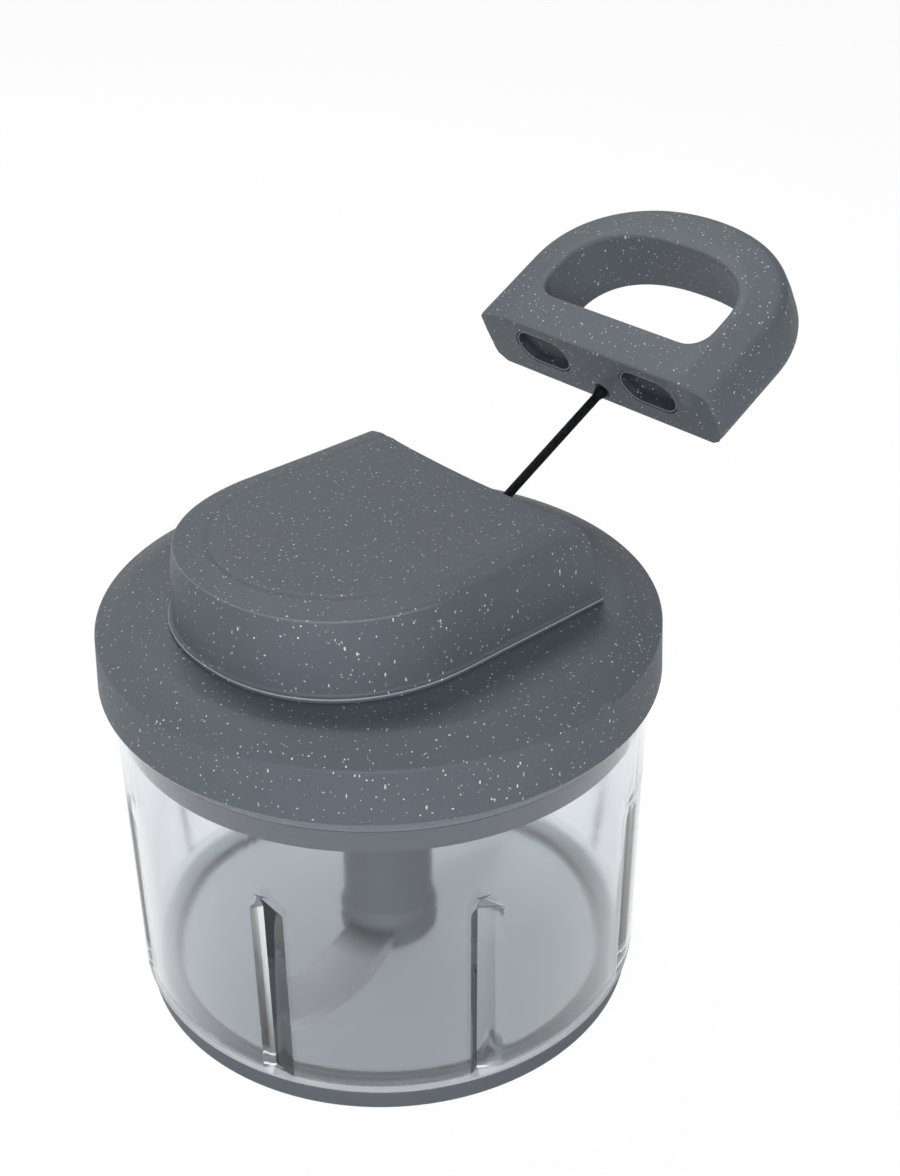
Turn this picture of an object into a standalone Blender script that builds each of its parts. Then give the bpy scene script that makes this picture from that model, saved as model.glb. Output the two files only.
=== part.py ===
"""Pull cord food chopper.

A clear ribbed bowl on a non-slip ring holds a loose blade unit. Its lid carries a spring-wound
cord spool, which turns the blades through a one-way clutch when the handle is pulled.

The origin is the middle of the bowl's underside, +Z is up and the cord is pulled towards +Y.
Lengths are in metres and angles in degrees.
"""

from math import acos, asin, cos, pi, radians, sin, sqrt, tan

import bmesh
import bpy
from mathutils import Vector

# Shared values
CLEARANCE = 0.0003
OVERRUN = 0.0020
WIDE_STEPS = 48
ROUND_STEPS = 28
SMALL_STEPS = 12
CORD_SIDES_RESOLUTION = 2

# Base ring
RING_INSET = 0.0012
RING_WIDTH = 0.0064
RING_HEIGHT = 0.0048
RING_EDGE = 0.0008

# Bowl
BOWL_FOOT_RADIUS = 0.0632
BOWL_RIM_RADIUS = 0.0642
BOWL_HEIGHT = 0.0930
BOWL_WALL = 0.0025
BOWL_FLOOR = 0.0024
BOWL_FLOOR_RISE = 0.0028
BOWL_CURL = 0.0060
BOWL_CURL_TOP = 0.0090
BOWL_CORNER = 0.0045
BEAD_DROP = 0.0068
BEAD_HEIGHT = 0.0016
BEAD_PROUD = 0.0014
BOSS_RADIUS = 0.0065
BOSS_HEIGHT = 0.0034

# Ribs pressed into the bowl's wall
RIB_COUNT = 8
RIB_PHASE = 24.9
RIB_WIDTH = 0.0080
RIB_DEPTH = 0.0016
RIB_FOOT = 0.0100
RIB_DROP = 0.0315
RIB_TAPER = 0.0045
RIB_WIDTH_SHARES = (-0.5, -0.22, -0.16, 0.17, 0.5)
RIB_DEPTH_SHARES = (0.0, 0.95, 1.0, 0.5, 0.0)
RIB_ARCH_SHARES = (0.0, 0.5, 0.8, 0.15, 0.0)
WALL_STEPS = 5
BOWL_CORNER_STEPS = 3

# Pivot pin
PIN_RADIUS = 0.0020
PIN_DEPTH = 0.0010
PIN_TOP = 0.0300
PIN_TIP = 0.0010

# Blade unit
HUB_FLANGE_RADIUS = 0.0140
HUB_FLANGE_HEIGHT = 0.0076
HUB_RADIUS = 0.0112
HUB_CONE = 0.0025
HUB_DROP = 0.0210
HUB_FLOAT = 0.0007
HUB_EDGE = 0.0008
HUB_BUSH_WALL = 0.0016
HUB_BUSH_LENGTH = 0.0150
SOCKET_DEPTH = 0.0125
BLADE_THICKNESS = 0.0012
BLADE_ROOT_WIDTH = 0.0120
BLADE_ROOT_GRIP = 0.0060
BLADE_GAP = 0.0062
BLADE_HALF_WIDTH = 0.0082
BLADE_SWEEP = 0.0100
BLADE_BEVEL = 0.0026
BLADE_GROUND_SHARE = 0.25
BLADE_NECK_POWER = 4
BLADE_TIP_POWER = 3
LOWER_BLADE_Z = 0.0106
UPPER_BLADE_Z = 0.0235
LOWER_BLADE_ANGLE = -62.0
UPPER_BLADE_ANGLE = 118.0
BLADE_STEPS = 14

# Lid moulding
RIM_GAP = 0.0006
LID_RISE = 0.0110
LID_THICKNESS = 0.0025
SKIRT_WALL = 0.0022
SKIRT_EDGE = 0.0012
SKIRT_DRAFT = 0.0006
CROWN_FLAT_INSET = 0.0105
CROWN_EDGE_INSET = 0.0014
CROWN_DROP = 0.0036
CROWN_POWER = 1.6
CROWN_STEPS = 4
LID_HOLE_RADIUS = 0.0150

# Inner cover under the lid
PLUG_GAP = 0.0007
PLUG_WALL = 0.0022
PLUG_DROP = 0.0175
COVER_DROP = 0.0150
COVER_THICKNESS = 0.0020
COLLAR_WALL = 0.0022
COLLAR_RISE = 0.0040
SEAL_DROP = 0.0115
SEAL_HEIGHT = 0.0022
SEAL_GROOVE = 0.0011
SEAL_PROUD = 0.0004

# Screws
SCREW_RADIUS = 0.0014
SCREW_HEAD_RADIUS = 0.0027
SCREW_HEAD_HEIGHT = 0.0017
SCREW_HEAD_EDGE = 0.0005
SCREW_LENGTH = 0.0090
SCREW_BOSS_RADIUS = 0.0034
COVER_SCREW_COUNT = 4
COVER_SCREW_INSET = 0.0108
COVER_SCREW_PHASE = 45.0
DOME_FRONT_SCREW_INSET = 0.0108
DOME_SIDE_SCREW_INSET = 0.0093
DOME_FACE_SCREW_INSET = 0.0100
DOME_BOSS_HEIGHT = 0.0120

# Dome cover: a D in plan, whose flat face leans back and carries the cord's eye
DOME_HALF_WIDTH = 0.0393
DOME_FACE_Y = 0.0345
DOME_CENTRE_Y = -0.0080
DOME_TIP_Y = -0.0493
DOME_POWER = 2.20
DOME_CREASE_POWER = 2.0
DOME_CORNER = 0.0010
DOME_HEIGHT = 0.0202
DOME_WALL = 0.0022
DOME_LEAN = 0.0014
DOME_BAND = 0.0072
DOME_BAND_RISE = 0.0012
DOME_FACE_LEAN = 13.0
DOME_LEAN_SHARES = ((0.0, 0.0), (0.4, 0.10), (0.75, 0.35), (0.94, 0.70), (1.0, 1.0))
DOME_CAVITY_SHARE = 0.9
OUTLINE_STEPS = 24
CORNER_STEPS = 2
AXLE_BOSS_RADIUS = 0.0060
AXLE_BOSS_DROP = 0.0036

# Cord line: the eye in the flat face, and the cord's slope in the photograph
EYE_HEIGHT = 0.0052
PIVOT_INSET = 0.0015
CORD_SLOPE = 28.2
CORD_DIAMETER = 0.0023
CORD_VISIBLE = 0.0475
CORD_POINT_SPACING = 0.0050
STUB_START = 0.0009
STUB_END = 0.0032
EYELET_RADIUS = 0.0035
EYELET_FLANGE = 0.0042
EYELET_FLANGE_THICKNESS = 0.0010
EYELET_MOUTH = 0.0031
EYELET_STEPS = 3

# Docking studs on the flat face, and the ovals in the handle that take them
STUD_SPACING = 0.0354
STUD_RISE = 0.0015
STUD_PROUD = 0.0026
STUD_SEAT = 0.0010
OVAL_WIDTH = 0.0170
OVAL_HEIGHT = 0.0096
OVAL_DEPTH = 0.0031
OVAL_CLEARANCE = 0.0008
OVAL_STEPS = 6

# Spool and its axle
AXLE_RADIUS = 0.0025
AXLE_DROP = 0.0124
SPOOL_FLOAT = 0.0008
SPOOL_FLANGE_RADIUS = 0.0280
SPOOL_FLANGE = 0.0010
SPOOL_CORE_RADIUS = 0.0197
SPOOL_CORE_WALL = 0.0021
SPOOL_THROAT = 0.0097
SPOOL_FLOOR = 0.0016
NECK_RADIUS = 0.0085
WINDING_TURNS = 2.5
WINDING_TURN_STEPS = 24
SPRING_COVER_THICKNESS = 0.0012
SPRING_COVER_RADIUS = 0.0200
SPRING_COVER_LIP = 0.0024
SPRING_COVER_LIP_WALL = 0.0008
SPRING_TURNS = 5
SPRING_TURN_STEPS = 12
SPRING_THICKNESS = 0.0005
SPRING_HEIGHT = 0.0052
WASHER_RADIUS = 0.0058
WASHER_THICKNESS = 0.0005

# One-way clutch and drive
SHAFT_RADIUS = 0.0070
SHAFT_BUSH_WALL = 0.0014
SHAFT_BUSH_FLANGE = 0.0010
CLUTCH_RADIUS = 0.0180
CLUTCH_FLOOR = 0.0025
CLUTCH_DEPTH = 0.0064
RATCHET_RADIUS = 0.0135
RATCHET_DEPTH = 0.0020
RATCHET_TEETH = 12
HEX_RADIUS = 0.0063
HEX_REACH = 0.0118
HEX_CHAMFER = 0.0008
CARRIER_RADIUS = 0.0118
CARRIER_THICKNESS = 0.0018
PAWL_COUNT = 2
PAWL_ORBIT = 0.0080
PAWL_POST_RADIUS = 0.0014
PAWL_HUB_RADIUS = 0.0028
PAWL_HEIGHT = 0.0046
PAWL_REACH = 0.0075
PAWL_NOSE = 0.0009
PAWL_LEAN = 52.0
PAWL_ROUND = 260.0
RATCHET_TOOTH_SHARES = ((0.0, 0.0), (0.5, 0.5), (0.94, 1.0))
PAWL_WIRE = 0.0004
PAWL_COIL_ARC = 280.0

# Pull handle: a D like the dome's, flat face towards the dome
HANDLE_HALF_WIDTH = 0.0390
HANDLE_LENGTH = 0.0523
HANDLE_HEIGHT = 0.0186
HANDLE_STRAIGHT = 0.0230
HANDLE_POWER = 2.12
HANDLE_CORNER = 0.0012
HANDLE_CORD_DROP = 0.0055
HANDLE_INSET = 0.0096
HANDLE_FACE_EDGE = 0.0008
HANDLE_SECTION_SHARES = (
    (-0.5, 0.40, 1.0),
    (-0.47, 0.20, 0.4),
    (-0.40, 0.07, 0.0),
    (-0.26, 0.00, 0.0),
    (0.10, 0.00, 0.0),
    (0.41, 0.04, 0.0),
    (0.45, 0.11, 0.3),
    (0.5, 1.00, 1.0),
)
HANDLE_SIDE_WIDTH = 0.0120
HOLE_START = 0.0117
HANDLE_GRIP_WIDTH = 0.0136
HOLE_STRAIGHT = 0.0100
HOLE_POWER = 2.4
HOLE_CORNER = 0.0060
HOLE_FLARE = 0.0015
HOLE_FLARE_SHARES = ((-0.6, 0.7), (0.5, 0.0))
KNOT_RADIUS = 0.0023
KNOT_LENGTH = 0.0044
KNOT_POCKET_DEPTH = 0.0053
KNOT_SHARES = ((0.0, 0.45), (0.12, 0.86), (0.3, 1.0), (0.5, 0.9), (0.7, 1.0), (0.88, 0.86), (1.0, 0.45))
HANDLE_MOUTH_RADIUS = 0.0021
HANDLE_MOUTH_DEPTH = 0.0008
CORD_ENTRY_DEPTH = 0.0020


def bowl_outer_radius(height):
    """The bowl's outer wall, which widens steadily from its foot to its rim."""
    share = (height - BOWL_CURL_TOP) / (BOWL_HEIGHT - BOWL_CURL_TOP)
    return BOWL_FOOT_RADIUS + (BOWL_RIM_RADIUS - BOWL_FOOT_RADIUS) * max(0, share)


# Heights worked out from the bowl's rim, which the lid and all that it carries follow
BEAD_TOP = BOWL_HEIGHT - BEAD_DROP
RIB_TOP = BOWL_HEIGHT - RIB_DROP
HUB_TOP = BOWL_HEIGHT - HUB_DROP
LID_TOP = BOWL_HEIGHT + LID_RISE
PLUG_BOTTOM = BOWL_HEIGHT - PLUG_DROP
COVER_UNDERSIDE = BOWL_HEIGHT - COVER_DROP
SEAL_Z = BOWL_HEIGHT - SEAL_DROP
AXLE_BOTTOM = BOWL_HEIGHT - AXLE_DROP
HEX_BOTTOM = HUB_TOP - HEX_REACH

# Widths worked out from the pieces that fit in or over each other
RING_RADIUS = BOWL_FOOT_RADIUS - RING_INSET
BLADE_REACH = BOWL_FOOT_RADIUS - BOWL_WALL - BLADE_GAP
PLUG_RADIUS = min(bowl_outer_radius(PLUG_BOTTOM), BOWL_RIM_RADIUS) - BOWL_WALL - PLUG_GAP
COVER_SCREW_CIRCLE = PLUG_RADIUS - COVER_SCREW_INSET
LID_RADIUS = max(bowl_outer_radius(BEAD_TOP), BOWL_RIM_RADIUS) + RIM_GAP + SKIRT_WALL
CROWN_FLAT_RADIUS = LID_RADIUS - CROWN_FLAT_INSET
CROWN_EDGE_RADIUS = LID_RADIUS - CROWN_EDGE_INSET
DOME_FRONT_SCREW_Y = DOME_TIP_Y + DOME_FRONT_SCREW_INSET
DOME_REAR_SCREW_X = DOME_HALF_WIDTH - DOME_SIDE_SCREW_INSET
DOME_REAR_SCREW_Y = DOME_FACE_Y - DOME_FACE_SCREW_INSET
HOLE_HALF_WIDTH = HANDLE_HALF_WIDTH - HANDLE_SIDE_WIDTH
HOLE_END = HANDLE_LENGTH - HANDLE_GRIP_WIDTH

# Heights worked out from the pieces that stand on each other
BOWL_FOOT_Z = RING_HEIGHT + CLEARANCE
FLOOR_TOP = BOWL_FLOOR_RISE + BOWL_FLOOR
BOSS_TOP = FLOOR_TOP + BOSS_HEIGHT
HUB_BOTTOM = FLOOR_TOP + HUB_FLOAT
HUB_BUSH_BOTTOM = BOSS_TOP + CLEARANCE
HUB_BUSH_RADIUS = PIN_RADIUS + CLEARANCE + HUB_BUSH_WALL
SKIRT_BOTTOM = BEAD_TOP + CLEARANCE
DOME_BASE = LID_TOP + CLEARANCE
DOME_TOP = DOME_BASE + DOME_HEIGHT
DOME_SHOULDER = DOME_HEIGHT - DOME_BAND_RISE
COLLAR_TOP = COVER_UNDERSIDE + COVER_THICKNESS + COLLAR_RISE
SHAFT_BUSH_RADIUS = SHAFT_RADIUS + CLEARANCE + SHAFT_BUSH_WALL
COLLAR_BORE = SHAFT_BUSH_RADIUS + CLEARANCE
CLUTCH_BOTTOM = COLLAR_TOP + CLEARANCE + SHAFT_BUSH_FLANGE + CLEARANCE
CLUTCH_INSIDE = CLUTCH_BOTTOM + CLUTCH_FLOOR
CLUTCH_TOP = CLUTCH_INSIDE + CLUTCH_DEPTH
CARRIER_BOTTOM = CLUTCH_TOP + CLEARANCE
SPOOL_BOTTOM = LID_TOP + SPOOL_FLOAT
THROAT_BOTTOM = SPOOL_BOTTOM + SPOOL_FLANGE
SPOOL_TOP = THROAT_BOTTOM + SPOOL_THROAT + SPOOL_FLANGE
CAVITY_BOTTOM = SPOOL_BOTTOM + SPOOL_FLOOR
CAVITY_RADIUS = SPOOL_CORE_RADIUS - SPOOL_CORE_WALL
SPRING_COVER_BOTTOM = SPOOL_TOP + CLEARANCE
WASHER_BOTTOM = SPRING_COVER_BOTTOM + SPRING_COVER_THICKNESS + CLEARANCE
AXLE_BOSS_BOTTOM = WASHER_BOTTOM + WASHER_THICKNESS + CLEARANCE
AXLE_TOP = AXLE_BOSS_BOTTOM + AXLE_BOSS_DROP - CLEARANCE
WINDING_RADIUS = SPOOL_CORE_RADIUS + CLEARANCE + CORD_DIAMETER / 2
LEAD_RADIUS = WINDING_RADIUS + CORD_DIAMETER + CLEARANCE
EYE_Z = LID_TOP + EYE_HEIGHT
EYE_Y = DOME_FACE_Y - (EYE_Z - DOME_BASE) * tan(radians(DOME_FACE_LEAN))
LEAD_BEND_DEPTH = DOME_WALL + EYELET_FLANGE_THICKNESS + CORD_DIAMETER / 2
FACE_DISTANCE = PIVOT_INSET / cos(radians(CORD_SLOPE)) + CORD_VISIBLE
FACE_CENTRE_Z = HANDLE_CORD_DROP
CORD_BORE = CORD_DIAMETER / 2 + CLEARANCE


def make_material(name, colour, roughness, metallic=0.0, alpha=1.0):
    """A plain Principled material."""
    made = bpy.data.materials.new(name)
    made.use_nodes = True
    shader = made.node_tree.nodes["Principled BSDF"]
    shader.inputs["Base Color"].default_value = (*colour, 1.0)
    shader.inputs["Roughness"].default_value = roughness
    shader.inputs["Metallic"].default_value = metallic
    shader.inputs["Alpha"].default_value = alpha
    made.diffuse_color = (*colour, alpha)
    return made


def place(name, mesh, material=None, parent=None, location=(0, 0, 0), rotation=(0, 0, 0)):
    """Puts a mesh or curve into the scene as one named object. A shared mesh has its material already."""
    made = bpy.data.objects.new(name, mesh)
    bpy.context.scene.collection.objects.link(made)
    made.location = location
    made.rotation_euler = rotation
    made.parent = parent
    if material:
        mesh.materials.append(material)
    return made


def mesh_from(name, shape):
    """Turns a bmesh into a mesh with outward faces and smooth shading up to its creases."""
    bmesh.ops.recalc_face_normals(shape, faces=shape.faces)
    mesh = bpy.data.meshes.new(name)
    shape.to_mesh(mesh)
    shape.free()
    mesh.shade_smooth()
    mesh.set_sharp_from_angle(angle=radians(35))
    return mesh


def spin_profile(shape, profile, steps):
    """Turns a profile of (radius, height) points about Z. One on the axis starts and ends there."""
    points = [shape.verts.new((radius, 0, height)) for radius, height in profile]
    closed = profile[0][0] > 0
    pairs = list(zip(points, points[1:]))
    if closed:
        pairs.append((points[-1], points[0]))
    edges = [shape.edges.new(pair) for pair in pairs]
    bmesh.ops.spin(
        shape,
        geom=points + edges,
        cent=(0, 0, 0),
        axis=(0, 0, 1),
        dvec=(0, 0, 0),
        angle=2 * pi,
        steps=steps,
        use_merge=True,
        use_duplicate=False,
    )
    bmesh.ops.remove_doubles(shape, verts=shape.verts, dist=CLEARANCE / 100)


def turned(name, profile, steps, material, **placing):
    """A piece turned about its own Z axis."""
    shape = bmesh.new()
    spin_profile(shape, profile, steps)
    return place(name, mesh_from(name, shape), material, **placing)


def add_loft(shape, loops):
    """Joins equal closed loops of points into one capped body."""
    rings = [[shape.verts.new(point) for point in loop] for loop in loops]
    for low, high in zip(rings, rings[1:]):
        for i, corner in enumerate(low):
            j = (i + 1) % len(low)
            shape.faces.new((corner, low[j], high[j], high[i]))
    shape.faces.new(rings[0])
    shape.faces.new(rings[-1])


def lofted(name, loops, material, **placing):
    """A piece skinned over a stack of closed loops."""
    shape = bmesh.new()
    add_loft(shape, loops)
    return place(name, mesh_from(name, shape), material, **placing)


def at_height(outline, height):
    return [(x, y, height) for x, y in outline]


def circle(radius, steps, centre=(0, 0), start=0.0):
    """Points round a circle in plan."""
    turns = [start + 2 * pi * i / steps for i in range(steps)]
    return [(centre[0] + radius * cos(turn), centre[1] + radius * sin(turn)) for turn in turns]


def prism(outline, low, high):
    """Two loops that stand an outline up between two heights."""
    return [at_height(outline, low), at_height(outline, high)]


def cut(target, tool, operation="DIFFERENCE"):
    """Cuts a tool from a piece, or joins it on, and keeps the tool out of the build."""
    tool.hide_render = True
    tool.display_type = "WIRE"
    change = target.modifiers.new(tool.name, "BOOLEAN")
    change.operation = operation
    change.object = tool
    change.solver = "EXACT"


def cord_run(name, points, material, **placing):
    """A round cord along a list of points, with filled ends."""
    curve = bpy.data.curves.new(name, "CURVE")
    curve.dimensions = "3D"
    curve.bevel_depth = CORD_DIAMETER / 2
    curve.bevel_resolution = CORD_SIDES_RESOLUTION
    curve.use_fill_caps = True
    spline = curve.splines.new("POLY")
    spline.points.add(len(points) - 1)
    for point, place_on_run in zip(spline.points, points):
        point.co = (*place_on_run, 1)
    return place(name, curve, material, **placing)


def straight_points(start, end):
    """Evenly spaced points on a straight stretch of cord."""
    start, end = Vector(start), Vector(end)
    count = max(1, round((end - start).length / CORD_POINT_SPACING))
    return [start.lerp(end, i / count) for i in range(count + 1)]


def d_outline(half_width, flat, centre, tip, power, corner, steps=OUTLINE_STEPS):
    """A D in plan: flat at one end, straight sides to the centre line, and a full bow to the tip."""
    bow = []
    for i in range(steps + 1):
        turn = pi * i / steps
        across = abs(cos(turn)) ** (2 / power) * (1 if turn < pi / 2 else -1)
        along = abs(sin(turn)) ** (2 / power)
        bow.append((half_width * across, centre + (tip - centre) * along))
    inward = 1 if centre > flat else -1
    corners = []
    for side in (-1, 1):
        arc = []
        for i in range(CORNER_STEPS + 1):
            turn = pi / 2 * i / CORNER_STEPS
            x = side * (half_width - corner * (1 - cos(turn)))
            arc.append((x, flat + inward * corner * (1 - sin(turn))))
        corners += arc if side < 0 else arc[::-1]
    return bow + corners


def stadium(width, height, steps=OVAL_STEPS):
    """An oval with straight sides, as points across and up."""
    radius = height / 2
    straight = width / 2 - radius
    points = []
    for side in (1, -1):
        for i in range(steps + 1):
            turn = side * pi / 2 - pi * i / steps
            points.append((side * straight + radius * cos(turn), radius * sin(turn)))
    return points


def base_ring(material):
    """The non-slip ring that the bowl stands on."""
    inner = RING_RADIUS - RING_WIDTH
    turned(
        "base_ring",
        [
            (inner, 0),
            (RING_RADIUS - RING_EDGE, 0),
            (RING_RADIUS, RING_EDGE),
            (RING_RADIUS, RING_HEIGHT),
            (inner, RING_HEIGHT),
        ],
        WIDE_STEPS,
        material,
    )


def bowl_columns():
    """Angles round the bowl, with the rib depth and arch depth that each one carries."""
    columns = []
    for rib in range(RIB_COUNT):
        middle = radians(RIB_PHASE) + 2 * pi * rib / RIB_COUNT
        half = 0.5 * RIB_WIDTH / BOWL_FOOT_RADIUS
        for across, depth, arch in zip(RIB_WIDTH_SHARES, RIB_DEPTH_SHARES, RIB_ARCH_SHARES):
            columns.append((middle + 2 * half * across, depth, arch))
        plain = 2 * pi / RIB_COUNT - 2 * half
        for i in range(1, WALL_STEPS):
            columns.append((middle + half + plain * i / WALL_STEPS, 0.0, 0.0))
    return columns


def bowl_rows():
    """The bowl's section round its outside and back to its floor, as (radius, height, rib, arch)."""
    centre = BOWL_FOOT_RADIUS - BOWL_CURL
    rows = []
    low_turn = asin((BOWL_CURL_TOP - BOWL_FOOT_Z) / BOWL_CURL)
    for i in range(BOWL_CORNER_STEPS + 1):
        turn = low_turn * (1 - i / BOWL_CORNER_STEPS)
        rows.append((centre + BOWL_CURL * cos(turn), BOWL_CURL_TOP - BOWL_CURL * sin(turn), 0, 0))
    arch_base = RIB_TOP - RIB_TAPER
    rib_rows = [
        (RIB_FOOT, 0, 0),
        (RIB_FOOT + RIB_DEPTH / 2, 1, 0),
        (arch_base, 1, 0),
        (arch_base + RIB_TAPER / 2, 0, 1),
        (RIB_TOP, 0, 0),
    ]
    rows += [(bowl_outer_radius(z), z, rib, arch) for z, rib, arch in rib_rows]
    bead_low = BEAD_TOP - BEAD_HEIGHT
    wall_low, wall_high = bowl_outer_radius(bead_low), bowl_outer_radius(BEAD_TOP)
    rows += [
        (wall_low, bead_low - BEAD_PROUD / 2, 0, 0),
        (wall_low + BEAD_PROUD, bead_low, 0, 0),
        (wall_high + BEAD_PROUD, BEAD_TOP, 0, 0),
        (wall_high, BEAD_TOP, 0, 0),
        (BOWL_RIM_RADIUS, BOWL_HEIGHT, 0, 0),
        (BOWL_RIM_RADIUS - BOWL_WALL, BOWL_HEIGHT, 0, 0),
    ]
    rows += [(bowl_outer_radius(z) - BOWL_WALL, z, rib, arch) for z, rib, arch in reversed(rib_rows[1:])]
    inner = BOWL_FOOT_RADIUS - BOWL_WALL
    step_out = FLOOR_TOP + RING_HEIGHT / 2
    for i in range(1, BOWL_CORNER_STEPS + 1):
        turn = pi / 2 * i / BOWL_CORNER_STEPS
        rows.append((inner - BOWL_CORNER * (1 - cos(turn)), step_out + BOWL_CORNER * (1 - sin(turn)), 0, 0))
    return rows


def bowl_floor_rows():
    """The rest of the section, turned plainly: the stepped floor, the centre boss and the underside."""
    ring_inside = RING_RADIUS - RING_WIDTH - CLEARANCE
    step_out = FLOOR_TOP + RING_HEIGHT / 2
    return [
        (ring_inside + BOWL_FLOOR / 2, step_out),
        (ring_inside - BOWL_FLOOR, FLOOR_TOP),
        (BOSS_RADIUS + BOWL_FLOOR / 2, FLOOR_TOP),
        (BOSS_RADIUS, FLOOR_TOP + BOWL_FLOOR / 2),
        (BOSS_RADIUS, BOSS_TOP),
        (PIN_RADIUS + CLEARANCE, BOSS_TOP),
        (PIN_RADIUS + CLEARANCE, PIN_DEPTH),
        (0, PIN_DEPTH),
    ], [
        (0, 0),
        (BOSS_RADIUS, 0),
        (BOSS_RADIUS + BOWL_FLOOR / 2, BOWL_FLOOR_RISE),
        (ring_inside, BOWL_FLOOR_RISE),
        (ring_inside, BOWL_FOOT_Z),
    ]


def bowl(material):
    """The clear bowl: its ribs are pressed in, so each is a groove outside and a ridge inside."""
    columns = bowl_columns()
    wall = bowl_rows()
    floor, underside = bowl_floor_rows()
    rows = [(r, z, 0, 0) for r, z in underside] + wall + [(r, z, 0, 0) for r, z in floor]
    shape = bmesh.new()
    rings = []
    for radius, height, rib, arch in rows:
        if radius == 0:
            rings.append([shape.verts.new((0, 0, height))] * len(columns))
            continue
        ring = []
        for angle, depth, arch_depth in columns:
            r = radius - RIB_DEPTH * (rib * depth + arch * arch_depth)
            ring.append(shape.verts.new((r * cos(angle), r * sin(angle), height)))
        rings.append(ring)
    for low, high in zip(rings, rings[1:]):
        for i in range(len(columns)):
            j = (i + 1) % len(columns)
            corners = [low[i], low[j], high[j], high[i]]
            shape.faces.new(list(dict.fromkeys(corners)))
    place("bowl", mesh_from("bowl", shape), material)


def pivot_pin(material):
    """The steel pin in the bowl's boss, which the blade unit turns on."""
    low = PIN_DEPTH + CLEARANCE
    tip = [(PIN_RADIUS, PIN_TOP - PIN_TIP), (PIN_RADIUS - PIN_TIP, PIN_TOP), (0, PIN_TOP)]
    turned("pivot_pin", [(0, low), (PIN_RADIUS, low), *tip], SMALL_STEPS, material)


def blade_outline(bevel):
    """A swept blade in plan, pointing along +X, with its cutting edge towards +Y set back by the bevel."""
    root = HUB_RADIUS - BLADE_ROOT_GRIP
    start = HUB_FLANGE_RADIUS + CLEARANCE
    half_root = BLADE_ROOT_WIDTH / 2
    leading, trailing = [], []
    for i in range(BLADE_STEPS + 1):
        share = i / BLADE_STEPS
        x = start + (BLADE_REACH - start) * share
        middle = -BLADE_SWEEP * share * share
        neck = (1 - share) ** BLADE_NECK_POWER
        half = (half_root * neck + BLADE_HALF_WIDTH * (1 - neck)) * sqrt(1 - share**BLADE_TIP_POWER)
        ground = bevel * min(1, share / BLADE_GROUND_SHARE)
        leading.append((x, max(middle + half - ground, middle - half)))
        trailing.append((x, middle - half))
    return [(root, -half_root), *trailing, *reversed(leading[:-1]), (root, half_root)]


def blade(name, height, angle, material):
    """One blade, ground on its leading edge. The hub turns towards +Y from +X, so that edge cuts."""
    loops = [
        at_height(blade_outline(0), height),
        at_height(blade_outline(0), height + BLADE_THICKNESS / 4),
        at_height(blade_outline(BLADE_BEVEL), height + BLADE_THICKNESS),
    ]
    lofted(name, loops, material, rotation=(0, 0, radians(angle)))


def blade_slot(height, angle, material):
    """The slot in the hub that grips a blade's root."""
    root = HUB_RADIUS - BLADE_ROOT_GRIP - CLEARANCE
    half = BLADE_ROOT_WIDTH / 2 + CLEARANCE
    end = HUB_FLANGE_RADIUS + OVERRUN
    outline = [(root, -half), (end, -half), (end, half), (root, half)]
    loops = prism(outline, height - CLEARANCE, height + BLADE_THICKNESS + CLEARANCE)
    return lofted(f"slot_{round(angle)}", loops, material, rotation=(0, 0, radians(angle)))


def blade_hub(material, tool):
    """The column that carries the blades. Its hexagon socket takes the lid's drive."""
    flange_top = HUB_BOTTOM + HUB_FLANGE_HEIGHT
    relief = BOSS_RADIUS + BOWL_FLOOR / 2 + CLEARANCE
    bush_bore = HUB_BUSH_RADIUS + CLEARANCE
    bush_top = HUB_BUSH_BOTTOM + HUB_BUSH_LENGTH + CLEARANCE
    pin_bore = PIN_RADIUS + CLEARANCE
    made = turned(
        "blade_hub",
        [
            (relief, HUB_BOTTOM),
            (HUB_FLANGE_RADIUS - HUB_EDGE, HUB_BOTTOM),
            (HUB_FLANGE_RADIUS, HUB_BOTTOM + HUB_EDGE),
            (HUB_FLANGE_RADIUS, flange_top),
            (HUB_RADIUS, flange_top + HUB_CONE),
            (HUB_RADIUS, HUB_TOP - HUB_EDGE),
            (HUB_RADIUS - HUB_EDGE, HUB_TOP),
            (0, HUB_TOP),
        ]
        + [
            (0, PIN_TOP + CLEARANCE),
            (pin_bore, PIN_TOP + CLEARANCE),
            (pin_bore, bush_top),
            (bush_bore, bush_top),
            (bush_bore, HUB_BUSH_BOTTOM),
            (relief, HUB_BUSH_BOTTOM),
        ],
        ROUND_STEPS,
        material,
    )
    cut(made, blade_slot(LOWER_BLADE_Z, LOWER_BLADE_ANGLE, tool))
    cut(made, blade_slot(UPPER_BLADE_Z, UPPER_BLADE_ANGLE, tool))
    hexagon = circle(HEX_RADIUS + CLEARANCE / cos(pi / 6), 6)
    loops = prism(hexagon, HUB_TOP - SOCKET_DEPTH, HUB_TOP + OVERRUN)
    cut(made, lofted("hub_socket", loops, tool))


def hub_bush(material):
    """The bush inside the hub that runs on the pivot pin."""
    inner = PIN_RADIUS + CLEARANCE
    top = HUB_BUSH_BOTTOM + HUB_BUSH_LENGTH
    low, outer = HUB_BUSH_BOTTOM, HUB_BUSH_RADIUS
    turned("hub_bush", [(inner, low), (outer, low), (outer, top), (inner, top)], SMALL_STEPS, material)


def crown_height(radius):
    """The lid's upper face: flat in the middle, falling away ever more steeply towards the skirt."""
    share = (radius - CROWN_FLAT_RADIUS) / (CROWN_EDGE_RADIUS - CROWN_FLAT_RADIUS)
    return LID_TOP - CROWN_DROP * min(1, max(0, share)) ** CROWN_POWER


def screw_places():
    """Where the inner cover's screws stand."""
    return circle(COVER_SCREW_CIRCLE, COVER_SCREW_COUNT, start=radians(COVER_SCREW_PHASE))


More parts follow.
